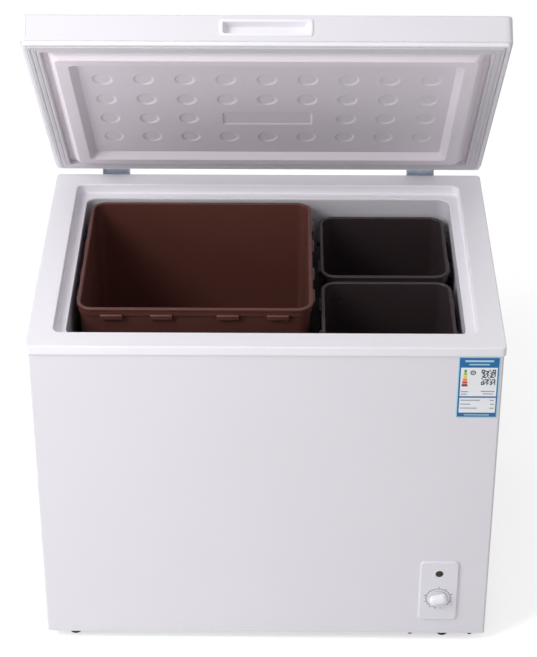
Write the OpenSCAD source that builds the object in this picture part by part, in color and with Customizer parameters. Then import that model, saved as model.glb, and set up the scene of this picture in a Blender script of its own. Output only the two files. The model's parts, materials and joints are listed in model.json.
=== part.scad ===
// Chest-type kimchi refrigerator, lid open, with its lift-out bins. Millimetres, +Z up.
// The front faces -Y. The origin is on the floor, under the middle of the whole outline.

/* [Cabinet] */
// Width over the sheet sides
cabinet_w = 745; // [700:5:850]
// Depth from the front sheet to the back sheet
cabinet_d = 540; // [500:5:620]
// Height from the cabinet's lower edge to the top of its rim
cabinet_h = 590; // [570:2:680]
// Thickness of an insulated wall, from outer face to the cavity
wall_t = 55; // [52:1:62]
// Thickness of the insulated floor
floor_t = 58; // [50:1:70]
// Thickness of the painted steel wrap
wrap_t = 1; // [0.8:0.1:1.4]
// Thickness of the flat back, base and compartment sheets
sheet_t = 0.8; // [0.6:0.1:1.2]
// Outside radius of the wrap's upright corners
corner_r = 4; // [3:0.5:8]
// Width of the flanges turned in at the wrap's edges
flange_w = 12; // [9:1:16]
// Thickness of the inner liner
liner_t = 1.2; // [1:0.1:1.6]
// Radius of the cavity's upright corners
cavity_r = 20; // [14:1:28]

/* [Rim] */
// Height of the rim's outer band
band_h = 16; // [12:1:22]
// How far the band stands out from the wrap
band_t = 3; // [2:0.5:4]
// Thickness of the rim moulding
rim_t = 2.5; // [2:0.5:3.5]
// Width of the flat rim top, from the wrap to the drop
rim_flat_w = 38; // [34:1:42]
// Depth of the drop inside the rim
rim_drop = 18; // [16:1:24]
// Corner radius of the drop
rim_r = 20; // [14:1:24]

/* [Compressor compartment] */
// Width of the step over the compartment, inside the cavity
step_w = 235; // [215:5:250]
// Inside height of the compartment
comp_h = 226; // [215:1:240]
// Insulation between the compartment and the cavity
comp_wall_t = 50; // [44:1:56]
// Radius of the compressor's shell
compressor_r = 68; // [60:1:74]
// Height of the compressor's shell
compressor_h = 150; // [140:1:160]
// Distance from the back sheet to the compressor's axis
compressor_y = 130; // [115:5:150]
// Radius of the compressor's mounting bolts
comp_bolt_r = 3; // [2.5:0.5:3.5]

/* [Lid] */
// Angle the lid stands open at
lid_open = 50; // [0:1:70]
// Height of the lid's steel skirt
lid_h = 44; // [40:1:52]
// Gap between rim and skirt when the lid is shut
lid_gap = 8; // [7:0.5:10]
// Thickness of the lid's sheet
lid_t = 1; // [0.8:0.1:1.4]
// Radius of the lid's upright corners
lid_r = 8; // [6:1:12]
// Thickness of the lid's inner moulding
lid_liner_t = 1.5; // [1.2:0.1:1.8]
// Height of the ridge that drops inside the rim
ridge_h = 13; // [10:1:14]
// Depth of the panel inside the ridge
panel_drop = 12; // [9:1:12]
// Width of the gasket
gasket_w = 19; // [16:1:20]
// Radius of the rounded ends of a dimple in the panel
dimple_r = 16; // [12:1:20]
// How much longer than wide a dimple is
dimple_long = 10; // [2:1:14]
// Distance between dimple columns
dimple_dx = 65.3; // [50:0.1:68]
// Distance between dimple rows
dimple_dy = 82; // [60:1:84]
// Depth of a dimple
dimple_deep = 1.6; // [1:0.1:2]

/* [Handle] */
// Width of the handle's frame
handle_w = 142; // [120:1:180]
// Height of the handle's frame
handle_h = 28; // [24:1:30]
// Width of the frame around the grip
handle_edge = 5; // [4:0.5:6]
// Depth of the grip
handle_deep = 14; // [12:1:20]
// How far the frame stands out of the skirt
handle_proud = 1.5; // [1:0.5:2.5]

/* [Hinges] */
// Height of the hinge axis over the rim
axis_rise = 20; // [18:1:26]
// Distance of the hinge axis behind the back sheet
axis_back = 8; // [8:0.5:10]
// Distance from a side sheet to a hinge's middle
hinge_inset = 102.5; // [80:2.5:130]
// Width of a hinge bracket
hinge_w = 48; // [42:1:56]
// Thickness of the hinge steel
hinge_t = 2; // [1.5:0.5:2.5]
// Length of a hinge bracket below the rim
hinge_len = 66; // [56:2:80]
// Radius of a hinge pin
pin_r = 3; // [2.5:0.5:3.5]
// Wire of the hinge spring
spring_wire = 1.4; // [1:0.1:1.6]
// Turns of the hinge spring
spring_turns = 9; // [6:1:10]

/* [Bins] */
// Gap between a bin and the cavity wall at the back and sides
bin_gap = 11; // [8:1:14]
// Gap between the wide bin and the cavity wall at the front
wide_bin_front = 80; // [60:5:110]
// Distance of the wide bin's top below the rim
wide_bin_low = 20; // [16:1:30]
// Distance of the narrow bins' tops below the rim
narrow_bin_low = 48; // [40:1:60]
// Gap between the two narrow bins, and between them and the wide one
bin_between = 17; // [15:1:24]
// Wall of a bin
bin_t = 2.5; // [2:0.5:3.5]
// How far a bin draws in from its rim to its base
bin_draft = 9; // [6:1:14]
// Height of the band round a bin's rim
bin_band_h = 15; // [10:1:20]
// Radius of a bin's corners
bin_r = 22; // [16:1:30]
// Thickness of the lower bin's lid
bin_lid_t = 9; // [7:1:12]
// Width, depth and height of a clip lug under a bin's rim
lug = [36, 5, 8];

/* [Controls] */
// Width of the control plate
plate_w = 64; // [56:1:72]
// Height of the control plate
plate_h = 126; // [110:1:140]
// Thickness of the control plate
plate_t = 3; // [2.5:0.5:4]
// Distance from the right side sheet to the plate's middle
plate_inset = 82; // [70:1:95]
// Distance from the cabinet's lower edge to the plate
plate_up = 32; // [28:1:50]
// Radius of the knob's disc
knob_r = 15.5; // [12:0.5:18]
// How far the knob's grip stands out of the plate
knob_h = 14; // [10:0.5:18]
// Tilt of the knob's grip
knob_tilt = 13; // [-60:1:60]
// Radius of the indicator lens
lens_r = 7; // [5:0.5:8]
// Width of the information card
card_w = 66; // [50:1:70]
// Height of the information card
card_h = 118; // [90:1:130]

/* [Feet and drain] */
// Height of a foot under the cabinet
foot_h = 20; // [16:1:28]
// Radius of a foot at its top
foot_r = 12.5; // [11:0.5:16]
// Distance from the left side to the left feet
foot_left = 46; // [40:1:80]
// Distance from the right side to the right feet
foot_right = 70; // [40:1:90]
// Bore radius of the drain tube
drain_r = 8; // [6:0.5:10]
// Distance from the left side to the drain
drain_x = 120; // [100:5:160]

/* [Hidden] */
$fn = 48;

seat = 0.3;       // clearance between pieces that stand on or in one another
hair = 0.05;      // radial clearance of a turning pin
skim = 0.1;       // overrun of a cut past the face it opens

xs = cabinet_w / 2;
z_base = foot_h;
z_rim = z_base + cabinet_h;
z_pan = z_base + wrap_t + sheet_t;            // top of the base pan
y_back = cabinet_d - sheet_t;                 // inner face of the back panel
y_foam = y_back - wrap_t;                     // back face of the insulation
z_floor = z_base + floor_t;                   // cavity floor
z_ledge = z_rim - rim_drop;                   // ledge inside the rim
x_step = xs - wall_t - step_w;                // upright wall of the step
z_comp = z_pan + comp_h;                      // ceiling of the compartment
z_step = z_comp + sheet_t + comp_wall_t + liner_t;
x_comp = x_step + comp_wall_t;                // left wall of the compartment, inner face

y_axis = cabinet_d + axis_back;
z_axis = z_rim + axis_rise;
hinge_x = xs - hinge_inset;

// Lid, in a frame on the hinge axis with the lid shut
lid_low = lid_gap - axis_rise;                // lower edge of the skirt
lid_top = lid_low + lid_h;
lid_y1 = -axis_back;                          // back face
lid_y0 = -axis_back - cabinet_d - band_t;     // front face
lid_xs = xs + band_t;
fold_w = 7;                                   // flange turned in under the skirt
lip_h = 5;                                    // lip of the inner moulding below the skirt
gasket_in = 10;                               // outer edge of the gasket from the skirt
ridge_in = gasket_in + gasket_w + 7;          // foot of the ridge from the skirt
ridge_slope = 12;                             // run of the ridge's outer slope
ridge_flat = 20;                              // width of the ridge's flat
ridge_r = rim_r - 4;                          // corner radius of the ridge, inside the rim's
panel_slope = 11;                             // run of the slope down to the panel
z_sheet = lid_low + lid_t;                    // lower face of the inner moulding
z_ridge = z_sheet - 1 - ridge_h;
z_panel = z_ridge + panel_drop;
panel_in = ridge_in + ridge_slope + ridge_flat + panel_slope;
dimple_cols = 9;
dimple_rows = 4;
panel_box = [148, 50];                        // shallow panel among the dimples

// How far the outline reaches behind the back sheet and before the front sheet, and its middle
lid_reach = axis_back + lid_y1 * cos(lid_open) + lid_top * sin(lid_open);
bracket_reach = axis_back * 2;
y_mid = (cabinet_d + max(lid_reach, bracket_reach) - max(band_t, plate_t + knob_h)) / 2;

// Bins
wide_x0 = -xs + wall_t + bin_gap;
wide_x1 = x_step - 8;
wide_y0 = wall_t + wide_bin_front;
wide_y1 = cabinet_d - wall_t - bin_gap;
narrow_x0 = wide_x1 + bin_between;
narrow_x1 = xs - wall_t - bin_gap;
narrow_y0 = wall_t + bin_gap;
narrow_d = (cabinet_d - 2 * (wall_t + bin_gap) - bin_between) / 2;
wide_top = z_rim - wide_bin_low;
wide_h = (wide_top - z_floor - bin_lid_t - 3 * seat) / 2;
narrow_top = z_rim - narrow_bin_low;
narrow_h = narrow_top - z_step - seat;

// Controls
plate_x = xs - plate_inset;
plate_z = z_base + plate_up;
knob_z = plate_z + 48;
lens_z = plate_z + plate_h - 25;
shaft_r = 3;
body_hole = [plate_w - 18, plate_h - 26];     // opening in the wrap behind the plate

// Screws: radius of shank and head, height of head
screw_r = 2;
head_r = 4;
head_h = 2.2;

// Refrigerant circuit
evap_r = 4;
evap_turns = 4;
evap_gap = 0.3;
cond_r = 2.5;
cond_passes = 6;
pipe_r = 3;
cap_r = 1.2;
comp_x = (x_comp + xs - wrap_t) / 2;
comp_y = cabinet_d - compressor_y;
rail_z = z_pan + 12;                          // top of the compressor's rail
shell_z = rail_z + 10;                        // bottom of the compressor's shell
bolt_dx = 62;
bolt_dy = 50;

// Rounded rectangle from [x0, y0] to [x1, y1]
module rounded(x0, x1, y0, y1, r) {
    translate([x0 + r, y0]) square([x1 - x0 - 2 * r, y1 - y0]);
    translate([x0, y0 + r]) square([x1 - x0, y1 - y0 - 2 * r]);
    for (x = [x0 + r, x1 - r], y = [y0 + r, y1 - r]) translate([x, y]) circle(r);
}

// Block with rounded upright edges
module slab(x0, x1, y0, y1, z0, z1, r) {
    translate([0, 0, z0]) linear_extrude(z1 - z0) rounded(x0, x1, y0, y1, r);
}

// Plain block between two corners
module block(x0, x1, y0, y1, z0, z1) {
    translate([x0, y0, z0]) cube([x1 - x0, y1 - y0, z1 - z0]);
}

// Block with rounded edges along Y, seen from the front as a rounded rectangle
module plaque(x, z, w, h, y0, y1, r) {
    translate([x, y1, z]) rotate([90, 0, 0]) linear_extrude(y1 - y0)
        rounded(-w / 2, w / 2, 0, h, r);
}

// Block over the cabinet's plan, drawn in by an inset on all four sides
module plan(inset, z0, z1, r) {
    slab(-xs + inset, xs - inset, inset, cabinet_d - inset, z0, z1, r);
}

// The same over the lid's plan
module lid_plan(inset, z0, z1, r) {
    slab(-lid_xs + inset, lid_xs - inset, lid_y0 + inset, lid_y1 - inset, z0, z1, r);
}

// Cylinder from one point along +Y
module rod_y(x, y0, y1, z, r) {
    translate([x, y1, z]) rotate([90, 0, 0]) cylinder(h = y1 - y0, r = r);
}

// Cylinder along X
module rod_x(x0, x1, y, z, r) {
    translate([x0, y, z]) rotate([0, 90, 0]) cylinder(h = x1 - x0, r = r);
}

// Round tube through a list of points, with a quarter bend at each inner point
function unit(v) = v / norm(v);
function bend_cut(p, i, bend) = i <= 0 || i >= len(p) - 1 ? 0 : bend;
module run(p, r, bend) {
    for (i = [0 : len(p) - 2]) {
        d = unit(p[i + 1] - p[i]);
        a = p[i] + d * bend_cut(p, i, bend);
        b = p[i + 1] - d * bend_cut(p, i + 1, bend);
        translate(a) rotate([0, acos(d[2]), atan2(d[1], d[0])]) cylinder(h = norm(b - a), r = r);
        if (i > 0) {
            e = unit(p[i] - p[i - 1]);
            k = cross(e, d);
            c = p[i] - e * bend + d * bend;
            multmatrix([[-d[0], e[0], k[0], c[0]], [-d[1], e[1], k[1], c[1]],
                [-d[2], e[2], k[2], c[2]], [0, 0, 0, 1]])
                rotate_extrude(angle = 90) translate([bend, 0]) circle(r);
        }
    }
}

// Puts the cabinet's own coordinates in the part's frame
module in_place() { translate([0, -y_mid, 0]) children(); }

// Puts the shut lid's coordinates in the part's frame, at the angle it stands open
module on_lid() { in_place() translate([0, y_axis, z_axis]) rotate([-lid_open, 0, 0]) children(); }

// Positions of the repeated fasteners, in cabinet coordinates
back_screws = [for (s = [-1, 1], z = [0.2, 0.5, 0.78]) [s * (xs - 8), z_base + z * cabinet_h]];
grille_x0 = x_comp + 2;
grille_x1 = xs - 20;
grille_z0 = z_pan + 10;
grille_z1 = z_comp - 12;
grille_sites = [for (x = [grille_x0 + 7, grille_x1 - 7], z = [grille_z0 + 7, grille_z1 - 7]) [x, z]];
ear_w = 16;           // width of a hinge bracket's screw ears
ear_rows = [4, 38];   // heights of their screws over the bracket's lower end
hinge_sites = [for (s = [-1, 1], t = [-1, 1], z = ear_rows)
    [s * hinge_x + t * (hinge_w + ear_w) / 2, z_rim - hinge_len + z]];
leaf_sites = [for (s = [-1, 1], t = [-1, 1]) [s * hinge_x + t * 9, lid_low + 26]];
base_sites = [for (x = [plate_x - 44, plate_x + 57], y = [7]) [x, y]];
foot_sites = [for (x = [-xs + foot_left, xs - foot_right],
    y = [flange_w + foot_r + 1, cabinet_d - flange_w - foot_r - 1]) [x, y]];
bolt_sites = [for (s = [-1, 1], t = [-1, 1]) [comp_x + s * bolt_dx, comp_y + t * bolt_dy]];

// Screw along Y with its head at y, pointing to +Y
module screw_y(x, y, z, len) {
    rod_y(x, y - head_h, y, z, head_r);
    rod_y(x, y - skim, y + len, z, screw_r);
}

// Screw along Y with its head at y, pointing to -Y
module screw_back(x, y, z, len) {
    rod_y(x, y, y + head_h, z, head_r);
    rod_y(x, y - len, y + skim, z, screw_r);
}

// ---- Cabinet ----

module outer_wrap() color("white") in_place() difference() {
    slab(-xs, xs, 0, cabinet_d + corner_r, z_base, z_rim - rim_t, corner_r);
    difference() {
        slab(-xs + wrap_t, xs - wrap_t, wrap_t, cabinet_d + 2 * corner_r, z_base - skim,
            z_rim, corner_r - wrap_t);
        // flanges at the front and sides of the base
        difference() {
            block(-xs, xs, 0, y_back, z_base, z_base + wrap_t);
            block(-xs + flange_w, xs - flange_w, flange_w, cabinet_d + 1, z_base - 1, z_base + 2 * wrap_t);
        }
        // flanges behind the back panel
        for (s = [-1, 1]) block(min(s * xs, s * (xs - flange_w)), max(s * xs, s * (xs - flange_w)),
            y_foam, y_back, z_base, z_rim);
    }
    block(-xs - 1, xs + 1, cabinet_d, cabinet_d + 3 * corner_r, 0, z_rim + 1);
    plaque(plate_x, plate_z + (plate_h - body_hole[1]) / 2, body_hole[0], body_hole[1], -1, wrap_t + 1, 3);
    for (p = back_screws) rod_y(p[0], y_foam - 1, cabinet_d, p[1], screw_r + hair);
    for (p = base_sites) translate([p[0], p[1], z_base - 1]) cylinder(h = 4, r = screw_r + hair);
    for (k = [0 : 6]) block(xs - 3, xs + 1, cabinet_d - 180, cabinet_d - 60, z_pan + 60 + 14 * k,
        z_pan + 65 + 14 * k);
}

module back_panel() color("gainsboro") in_place() difference() {
    block(-xs + wrap_t, xs - wrap_t, y_back, cabinet_d, z_base, z_rim - rim_t);
    block(grille_x0 + 14, grille_x1 - 14, y_back - 1, cabinet_d + 1, grille_z0 + 14, grille_z1 - 14);
    for (p = back_screws) rod_y(p[0], y_back - 1, cabinet_d + 1, p[1], screw_r + hair);
    for (p = grille_sites) rod_y(p[0], y_back - 1, cabinet_d + 1, p[1], screw_r + hair);
    for (p = hinge_sites) rod_y(p[0], y_back - 1, cabinet_d + 1, p[1], screw_r + hair);
}

module base_pan() color("silver") in_place() difference() {
    slab(-xs + wrap_t, xs - wrap_t, wrap_t, y_foam, z_base + wrap_t, z_pan, corner_r - wrap_t);
    for (p = foot_sites) translate([p[0], p[1], z_base]) cylinder(h = 5, r = screw_r + hair);
    for (p = base_sites) translate([p[0], p[1], z_base]) cylinder(h = 5, r = screw_r + hair);
    translate([-xs + drain_x, wall_t + wide_bin_front / 2, z_base]) cylinder(h = 5, r = drain_r + 2 + hair);
    for (p = bolt_sites) translate([p[0], p[1], z_base]) cylinder(h = 5, r = comp_bolt_r + hair);
}

module rim_frame() color("whitesmoke") in_place() difference() {
    union() {
        slab(-xs - band_t, xs + band_t, -band_t, cabinet_d, z_rim - rim_t, z_rim, corner_r + band_t);
        difference() {
            slab(-xs - band_t, xs + band_t, -band_t, cabinet_d, z_rim - band_h, z_rim - rim_t,
                corner_r + band_t);
            slab(-xs, xs, 0, cabinet_d + corner_r, z_rim - band_h - 1, z_rim, corner_r);
            block(-xs - 9, xs + 9, cabinet_d - 2, cabinet_d + 9, z_rim - band_h - 1, z_rim - rim_t);
        }
        plan(rim_flat_w - rim_t, z_ledge - rim_t, z_rim - rim_t, rim_r);
    }
    plan(rim_flat_w, z_ledge, z_rim + 1, rim_r);
    plan(wall_t, z_ledge - rim_t - 1, z_ledge + 1, cavity_r);
}

// Space inside the liner, grown by t on every wall
module cavity(t) {
    plan(wall_t - t, z_step - t, z_ledge - rim_t, cavity_r + t);
    intersection() {
        plan(wall_t - t, z_floor - t, z_ledge - rim_t, cavity_r + t);
        block(-xs, x_step + t, 0, cabinet_d, 0, z_rim);
    }
}

module inner_liner() color("lightgray") in_place() difference() {
    union() {
        cavity(liner_t);
        plan(rim_flat_w + 2, z_ledge - rim_t - liner_t, z_ledge - rim_t, rim_r);
    }
    translate([0, 0, skim]) cavity(0);
    cavity(0);
    translate([-xs + drain_x, wall_t + wide_bin_front / 2, 0]) cylinder(h = z_rim, r = drain_r);
}

module cabinet_foam() color("khaki") in_place() difference() {
    slab(-xs + wrap_t, xs - wrap_t, wrap_t, y_foam, z_pan, z_rim - rim_t, corner_r - wrap_t);
    cavity(liner_t);
    plan(rim_flat_w - rim_t, z_ledge - rim_t, z_rim, rim_r);
    plan(rim_flat_w + 2, z_ledge - rim_t - liner_t, z_rim, rim_r);
    block(x_comp - sheet_t, xs, 0, cabinet_d, 0, z_comp + sheet_t);
    evaporator_space();
    condenser_space();
    for (p = back_screws) rod_y(p[0], y_foam - 12, cabinet_d, p[1], screw_r + 1);
    for (s = [-1, 1]) block(s * hinge_x - 42, s * hinge_x + 42, y_foam - 16, cabinet_d,
        z_rim - hinge_len - 8, z_rim - band_h);
    for (p = foot_sites) translate([p[0], p[1], 0]) cylinder(h = z_pan + 12, r = screw_r + 1);
    for (p = base_sites) translate([p[0], p[1], 0]) cylinder(h = z_pan + 12, r = screw_r + 1);
    translate([-xs + drain_x, wall_t + wide_bin_front / 2, 0]) cylinder(h = z_floor + 1, r = drain_r + 2);
}

module compartment_box() color("silver") in_place() difference() {
    block(x_comp - sheet_t, xs - wrap_t, wrap_t, y_foam, z_pan, z_comp + sheet_t);
    block(x_comp, xs, 0, cabinet_d, 0, z_comp);
    block(chase_x0, chase_x1, chase_y0, chase_y1, z_comp - 1, z_comp + 2);
    block(x_comp - 3, x_comp + 1, y_foam - 12, cabinet_d, cond_z0 - 6, cond_z0 + 6);
    block(cond_out[0] - 4, cond_out[0] + 4, y_foam - 8, cabinet_d, z_comp - 1, z_comp + 2);
}

// ---- Refrigerant circuit ----

// Evaporator: one tube that winds up round the cavity, with its rises on the back
evap_x = xs - wall_t + liner_t + evap_gap + evap_r;
evap_y0 = wall_t - liner_t - evap_gap - evap_r;
evap_y1 = cabinet_d - evap_y0;
evap_z0 = z_step + 26;
evap_dz = floor((z_ledge - 30 - evap_z0) / evap_turns);
evap_top = evap_z0 + evap_turns * evap_dz;
chase_x0 = xs - wall_t - 60;
chase_x1 = xs - wall_t + 2;
chase_y0 = evap_y1 - evap_r - evap_gap;
chase_y1 = chase_y0 + 3 * evap_r + 10;
evap_in = [chase_x1 - 6, evap_y1, z_comp - 16];
evap_out = [chase_x0 + 12, evap_y1 + 13, z_comp - 16];
rise_x = 60;
evap_points = concat(
    [evap_in, [evap_in[0], evap_y1, evap_z0]],
    [for (k = [0 : evap_turns - 1]) each let (z = evap_z0 + k * evap_dz, x = rise_x + 20 * k)
        [[x, evap_y1, z], [x, evap_y1, z + evap_dz], [-evap_x, evap_y1, z + evap_dz],
         [-evap_x, evap_y0, z + evap_dz], [evap_x, evap_y0, z + evap_dz], [evap_x, evap_y1, z + evap_dz]]],
    [[evap_out[0], evap_y1, evap_top], [evap_out[0], evap_out[1], evap_top], evap_out]);

module evaporator_tube() color("peru") in_place() run(evap_points, evap_r, 6);

module evaporator_space() {
    room = evap_r + evap_gap;
    for (k = [1 : evap_turns]) let (z = evap_z0 + k * evap_dz) difference() {
        block(-evap_x - room, evap_x + room, evap_y0 - room, evap_y1 + room, z - room, z + room);
        plan(wall_t + 1, z - 9, z + 9, cavity_r);
    }
    block(rise_x - room, evap_x, evap_y1 - room, evap_y1 + room, evap_z0 - room, evap_z0 + room);
    for (k = [0 : evap_turns - 1]) let (z = evap_z0 + k * evap_dz, x = rise_x + 20 * k)
        block(x - room, x + room, evap_y1 - room, evap_y1 + room, z, z + evap_dz);
    block(chase_x0, chase_x1, chase_y0, chase_y1, z_comp, evap_top + room);
}

// Condenser: one tube fixed inside the left side sheet, led back to the compartment
cond_x = -xs + wrap_t + cond_r + evap_gap;
cond_y0 = 36;
cond_y1 = y_foam - cond_r - evap_gap;
cond_z0 = z_pan + 40;
cond_dz = floor((z_rim - hinge_len - 24 - cond_z0) / (cond_passes - 1));
cond_top = cond_z0 + (cond_passes - 1) * cond_dz;
cond_in = [x_comp + 14, cond_y1, cond_z0];
cond_out = [chase_x0 - 20, cond_y1, z_comp - 14];
cond_points = concat([cond_in, [cond_x, cond_y1, cond_z0]],
    [for (k = [0 : cond_passes - 1]) each let (z = cond_z0 + k * cond_dz, back = k % 2 == 0)
        [if (k > 0) [cond_x, back ? cond_y1 - 10 : cond_y0, z],
         if (k < cond_passes - 1) [cond_x, back ? cond_y0 : cond_y1 - 10, z]]],
    [[cond_x, cond_y1, cond_top], [cond_out[0], cond_y1, cond_top], cond_out]);

module condenser_tube() color("darkgoldenrod") in_place() run(cond_points, cond_r, 4);

module condenser_space() {
    room = cond_r + evap_gap;
    for (k = [0 : cond_passes - 1]) let (z = cond_z0 + k * cond_dz) {
        block(-xs + wrap_t - 1, cond_x + room, cond_y0 - room, y_foam + 1, z - room, z + room);
        y = k % 2 == 0 ? cond_y0 : cond_y1 - 10;
        if (k < cond_passes - 1) block(-xs + wrap_t - 1, cond_x + room, y - room, y + room, z, z + cond_dz);
    }
    for (z = [cond_z0, cond_top]) block(-xs + wrap_t, z == cond_z0 ? x_comp : cond_out[0],
        cond_y1 - room, y_foam + 1, z - room, z + room);
    block(cond_out[0] - room, cond_out[0] + room, cond_y1 - room, y_foam + 1, z_comp, cond_top + room);
}

// Hermetic compressor: two steel halves welded at a rib, with the motor and pump inside
stub = 14;
stub_dx = 24;
shell_t = 3;
stub_z = shell_z + 0.62 * compressor_h;
seam_z = shell_z + compressor_h / 2;
dome = 34;

// Half outline of a can with rounded edges, of radius r and height h, to turn round its axis
module can(r, h, edge) {
    square([r - edge, h]);
    translate([0, edge]) square([r, h - 2 * edge]);
    intersection() {
        for (z = [edge, h - edge]) translate([r - edge, z]) circle(edge);
        square([r, h]);
    }
}
module compressor_can(grow) translate([0, 0, shell_z + shell_t - grow]) rotate_extrude()
    can(compressor_r - shell_t + grow, compressor_h - 2 * (shell_t - grow), dome - shell_t + grow);

module compressor_top() color("black") in_place() translate([comp_x, comp_y, 0]) difference() {
    union() {
        intersection() {
            compressor_can(shell_t);
            translate([0, 0, seam_z]) cylinder(h = compressor_h, r = 2 * compressor_r);
        }
        translate([0, 0, seam_z]) cylinder(h = 3, r = compressor_r + 4);
        for (x = [-stub_dx, 0, stub_dx]) rod_y(x, -compressor_r - stub, -compressor_r + 20, stub_z, pipe_r);
    }
    compressor_can(0);
}

module compressor_base() color("black") in_place() translate([comp_x, comp_y, 0]) difference() {
    union() {
        intersection() {
            compressor_can(shell_t);
            translate([0, 0, seam_z - compressor_h]) cylinder(h = compressor_h, r = 2 * compressor_r);
        }
        translate([0, 0, seam_z - 3]) cylinder(h = 3, r = compressor_r + 4);
        slab(-bolt_dx - 14, bolt_dx + 14, -bolt_dy - 14, bolt_dy + 14, shell_z - 3, shell_z, 10);
    }
    compressor_can(0);
    for (s = [-1, 1], t = [-1, 1]) translate([s * bolt_dx, t * bolt_dy, shell_z - 4])
        cylinder(h = 6, r = comp_bolt_r + 3);
}

// Motor on its foot, with the pump and the pump's muffler on top
motor_foot = [20, 12];
motor_h = 60;
motor_in = 14;
pump_h = 34;
pump_in = 26;
muffler = [9, 12];
module compressor_motor() color("dimgray") in_place() translate([comp_x, comp_y, shell_z + shell_t]) {
    cylinder(h = motor_foot[1], r = motor_foot[0]);
    translate([0, 0, motor_foot[1]]) cylinder(h = motor_h, r = compressor_r - motor_in);
    translate([0, 0, motor_foot[1] + motor_h]) cylinder(h = pump_h, r = compressor_r - pump_in);
    translate([0, 0, motor_foot[1] + motor_h + pump_h]) cylinder(h = muffler[1], r = muffler[0]);
}

module compressor_rail() color("silver") in_place() difference() {
    slab(comp_x - bolt_dx - 20, comp_x + bolt_dx + 20, comp_y - bolt_dy - 20, comp_y + bolt_dy + 20,
        z_pan, rail_z, 6);
    slab(comp_x - bolt_dx - 24, comp_x + bolt_dx + 24, comp_y - bolt_dy + 16, comp_y + bolt_dy - 16,
        z_pan - 1, rail_z - 2, 4);
    for (p = bolt_sites) translate([p[0], p[1], 0]) cylinder(h = z_rim, r = comp_bolt_r + hair);
}

module compressor_grommets() color("dimgray") in_place()
    for (p = bolt_sites) translate([p[0], p[1], rail_z]) difference() {
        union() {
            cylinder(h = shell_z - 3 - rail_z, r = 9);
            cylinder(h = shell_z + 1 - rail_z, r = comp_bolt_r + 3);
            translate([0, 0, shell_z - rail_z]) cylinder(h = 3, r = 8);
        }
        translate([0, 0, -1]) cylinder(h = shell_z + 6 - rail_z, r = comp_bolt_r);
    }

// Bolts with a head under the base and a nut on each grommet
bolt_head_h = 4;
bolt_head_out = 2.5;
module compressor_bolts() color("goldenrod") in_place()
    for (p = bolt_sites) translate([p[0], p[1], 0]) {
        translate([0, 0, z_base - 3]) cylinder(h = shell_z + 6 - z_base, r = comp_bolt_r);
        translate([0, 0, z_base + wrap_t - bolt_head_h])
            cylinder(h = bolt_head_h, r = comp_bolt_r + bolt_head_out);
        translate([0, 0, shell_z + 3]) cylinder(h = bolt_head_h, r = comp_bolt_r + bolt_head_out);
    }

module relay_cover() color("dimgray") in_place() difference() {
    slab(comp_x - 62, comp_x - 32, comp_y - compressor_r + 2, comp_y - 26, shell_z + 30, shell_z + 66, 4);
    translate([comp_x, comp_y, 0]) cylinder(h = z_rim, r = compressor_r + seat);
}

// Filter drier: a copper canister that stands in front of the compressor
drier_x = comp_x + 36;
drier_y = comp_y - compressor_r - 66;
drier_z = z_pan + 70;
drier_r = 9;
drier_h = 80;
drier_cone = 8;
module filter_drier() color("peru") in_place() translate([drier_x, drier_y, drier_z]) {
    cylinder(h = drier_h, r = drier_r);
    translate([0, 0, drier_h]) cylinder(h = drier_cone, r1 = drier_r, r2 = cond_r);
    translate([0, 0, -drier_cone]) cylinder(h = drier_cone, r1 = cap_r, r2 = drier_r);
}

stub_y = comp_y - compressor_r - stub;
suction_y = stub_y - 14;
suction_z = z_comp - 34;
module suction_pipe() color("peru") in_place() run([[comp_x + stub_dx, stub_y, stub_z],
    [comp_x + stub_dx, suction_y, stub_z], [comp_x + stub_dx, suction_y, suction_z],
    [evap_in[0], suction_y, suction_z], [evap_in[0], evap_y1, suction_z], evap_in], pipe_r, 6);

discharge_x = x_comp + 26;
discharge_y = stub_y - 16;
module discharge_pipe() color("peru") in_place() run([[comp_x - stub_dx, stub_y, stub_z],
    [comp_x - stub_dx, discharge_y, stub_z], [discharge_x, discharge_y, stub_z],
    [discharge_x, discharge_y, cond_z0], [discharge_x, cond_y1, cond_z0], cond_in], cond_r, 5);

// Capillary tube from the drier to the evaporator, and the feed from the condenser to the drier
cap_side = 40;        // how far the tube swings out beside the drier
cap_dip = 24;         // how far it dips below the drier
cap_under = 46;       // how far its level run lies below the compartment's ceiling
feed_under = 24;      // the same for the feed
cap_x = drier_x + cap_side;
cap_low = drier_z - cap_dip;
cap_z = z_comp - cap_under;
feed_z = z_comp - feed_under;
module capillary_tube() color("chocolate") in_place() {
    run([[drier_x, drier_y, drier_z - drier_cone], [drier_x, drier_y, cap_low],
        [cap_x, drier_y, cap_low], [cap_x, drier_y, cap_z],
        [cap_x, evap_out[1], cap_z], [evap_out[0], evap_out[1], cap_z], evap_out], cap_r, 5);
    run([[drier_x, drier_y, drier_z + drier_h + drier_cone], [drier_x, drier_y, feed_z],
        [cond_out[0], drier_y, feed_z], [cond_out[0], cond_y1, feed_z], cond_out], cap_r, 5);
}

// ---- Controls ----

module control_plate() color("white") in_place() difference() {
    union() {
        plaque(plate_x, plate_z, plate_w, plate_h, -plate_t * 0.6, 0, 6);
        plaque(plate_x, plate_z + 1, plate_w - 2, plate_h - 2, -plate_t, 0, 5);
        rod_y(plate_x, -plate_t - 0.8, 0, lens_z, lens_r + 2);
    }
    rod_y(plate_x, -plate_t - 2, 1, lens_z, lens_r);
    rod_y(plate_x, -plate_t - 2, 1, knob_z, shaft_r + 0.5);
}

module indicator_lens() color("maroon") in_place() {
    rod_y(plate_x, -plate_t - 1.2, 0, lens_z, lens_r);
    rod_y(plate_x, 0, 3, lens_z, lens_r + 2);
}

module indicator_lamp() color("orange") in_place() {
    rod_y(plate_x, 3, 24, lens_z, 5);
    for (s = [-1, 1]) block(plate_x + s * 2.5 - 0.4, plate_x + s * 2.5 + 0.4, 24, 34, lens_z - 3, lens_z + 3);
}

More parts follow.
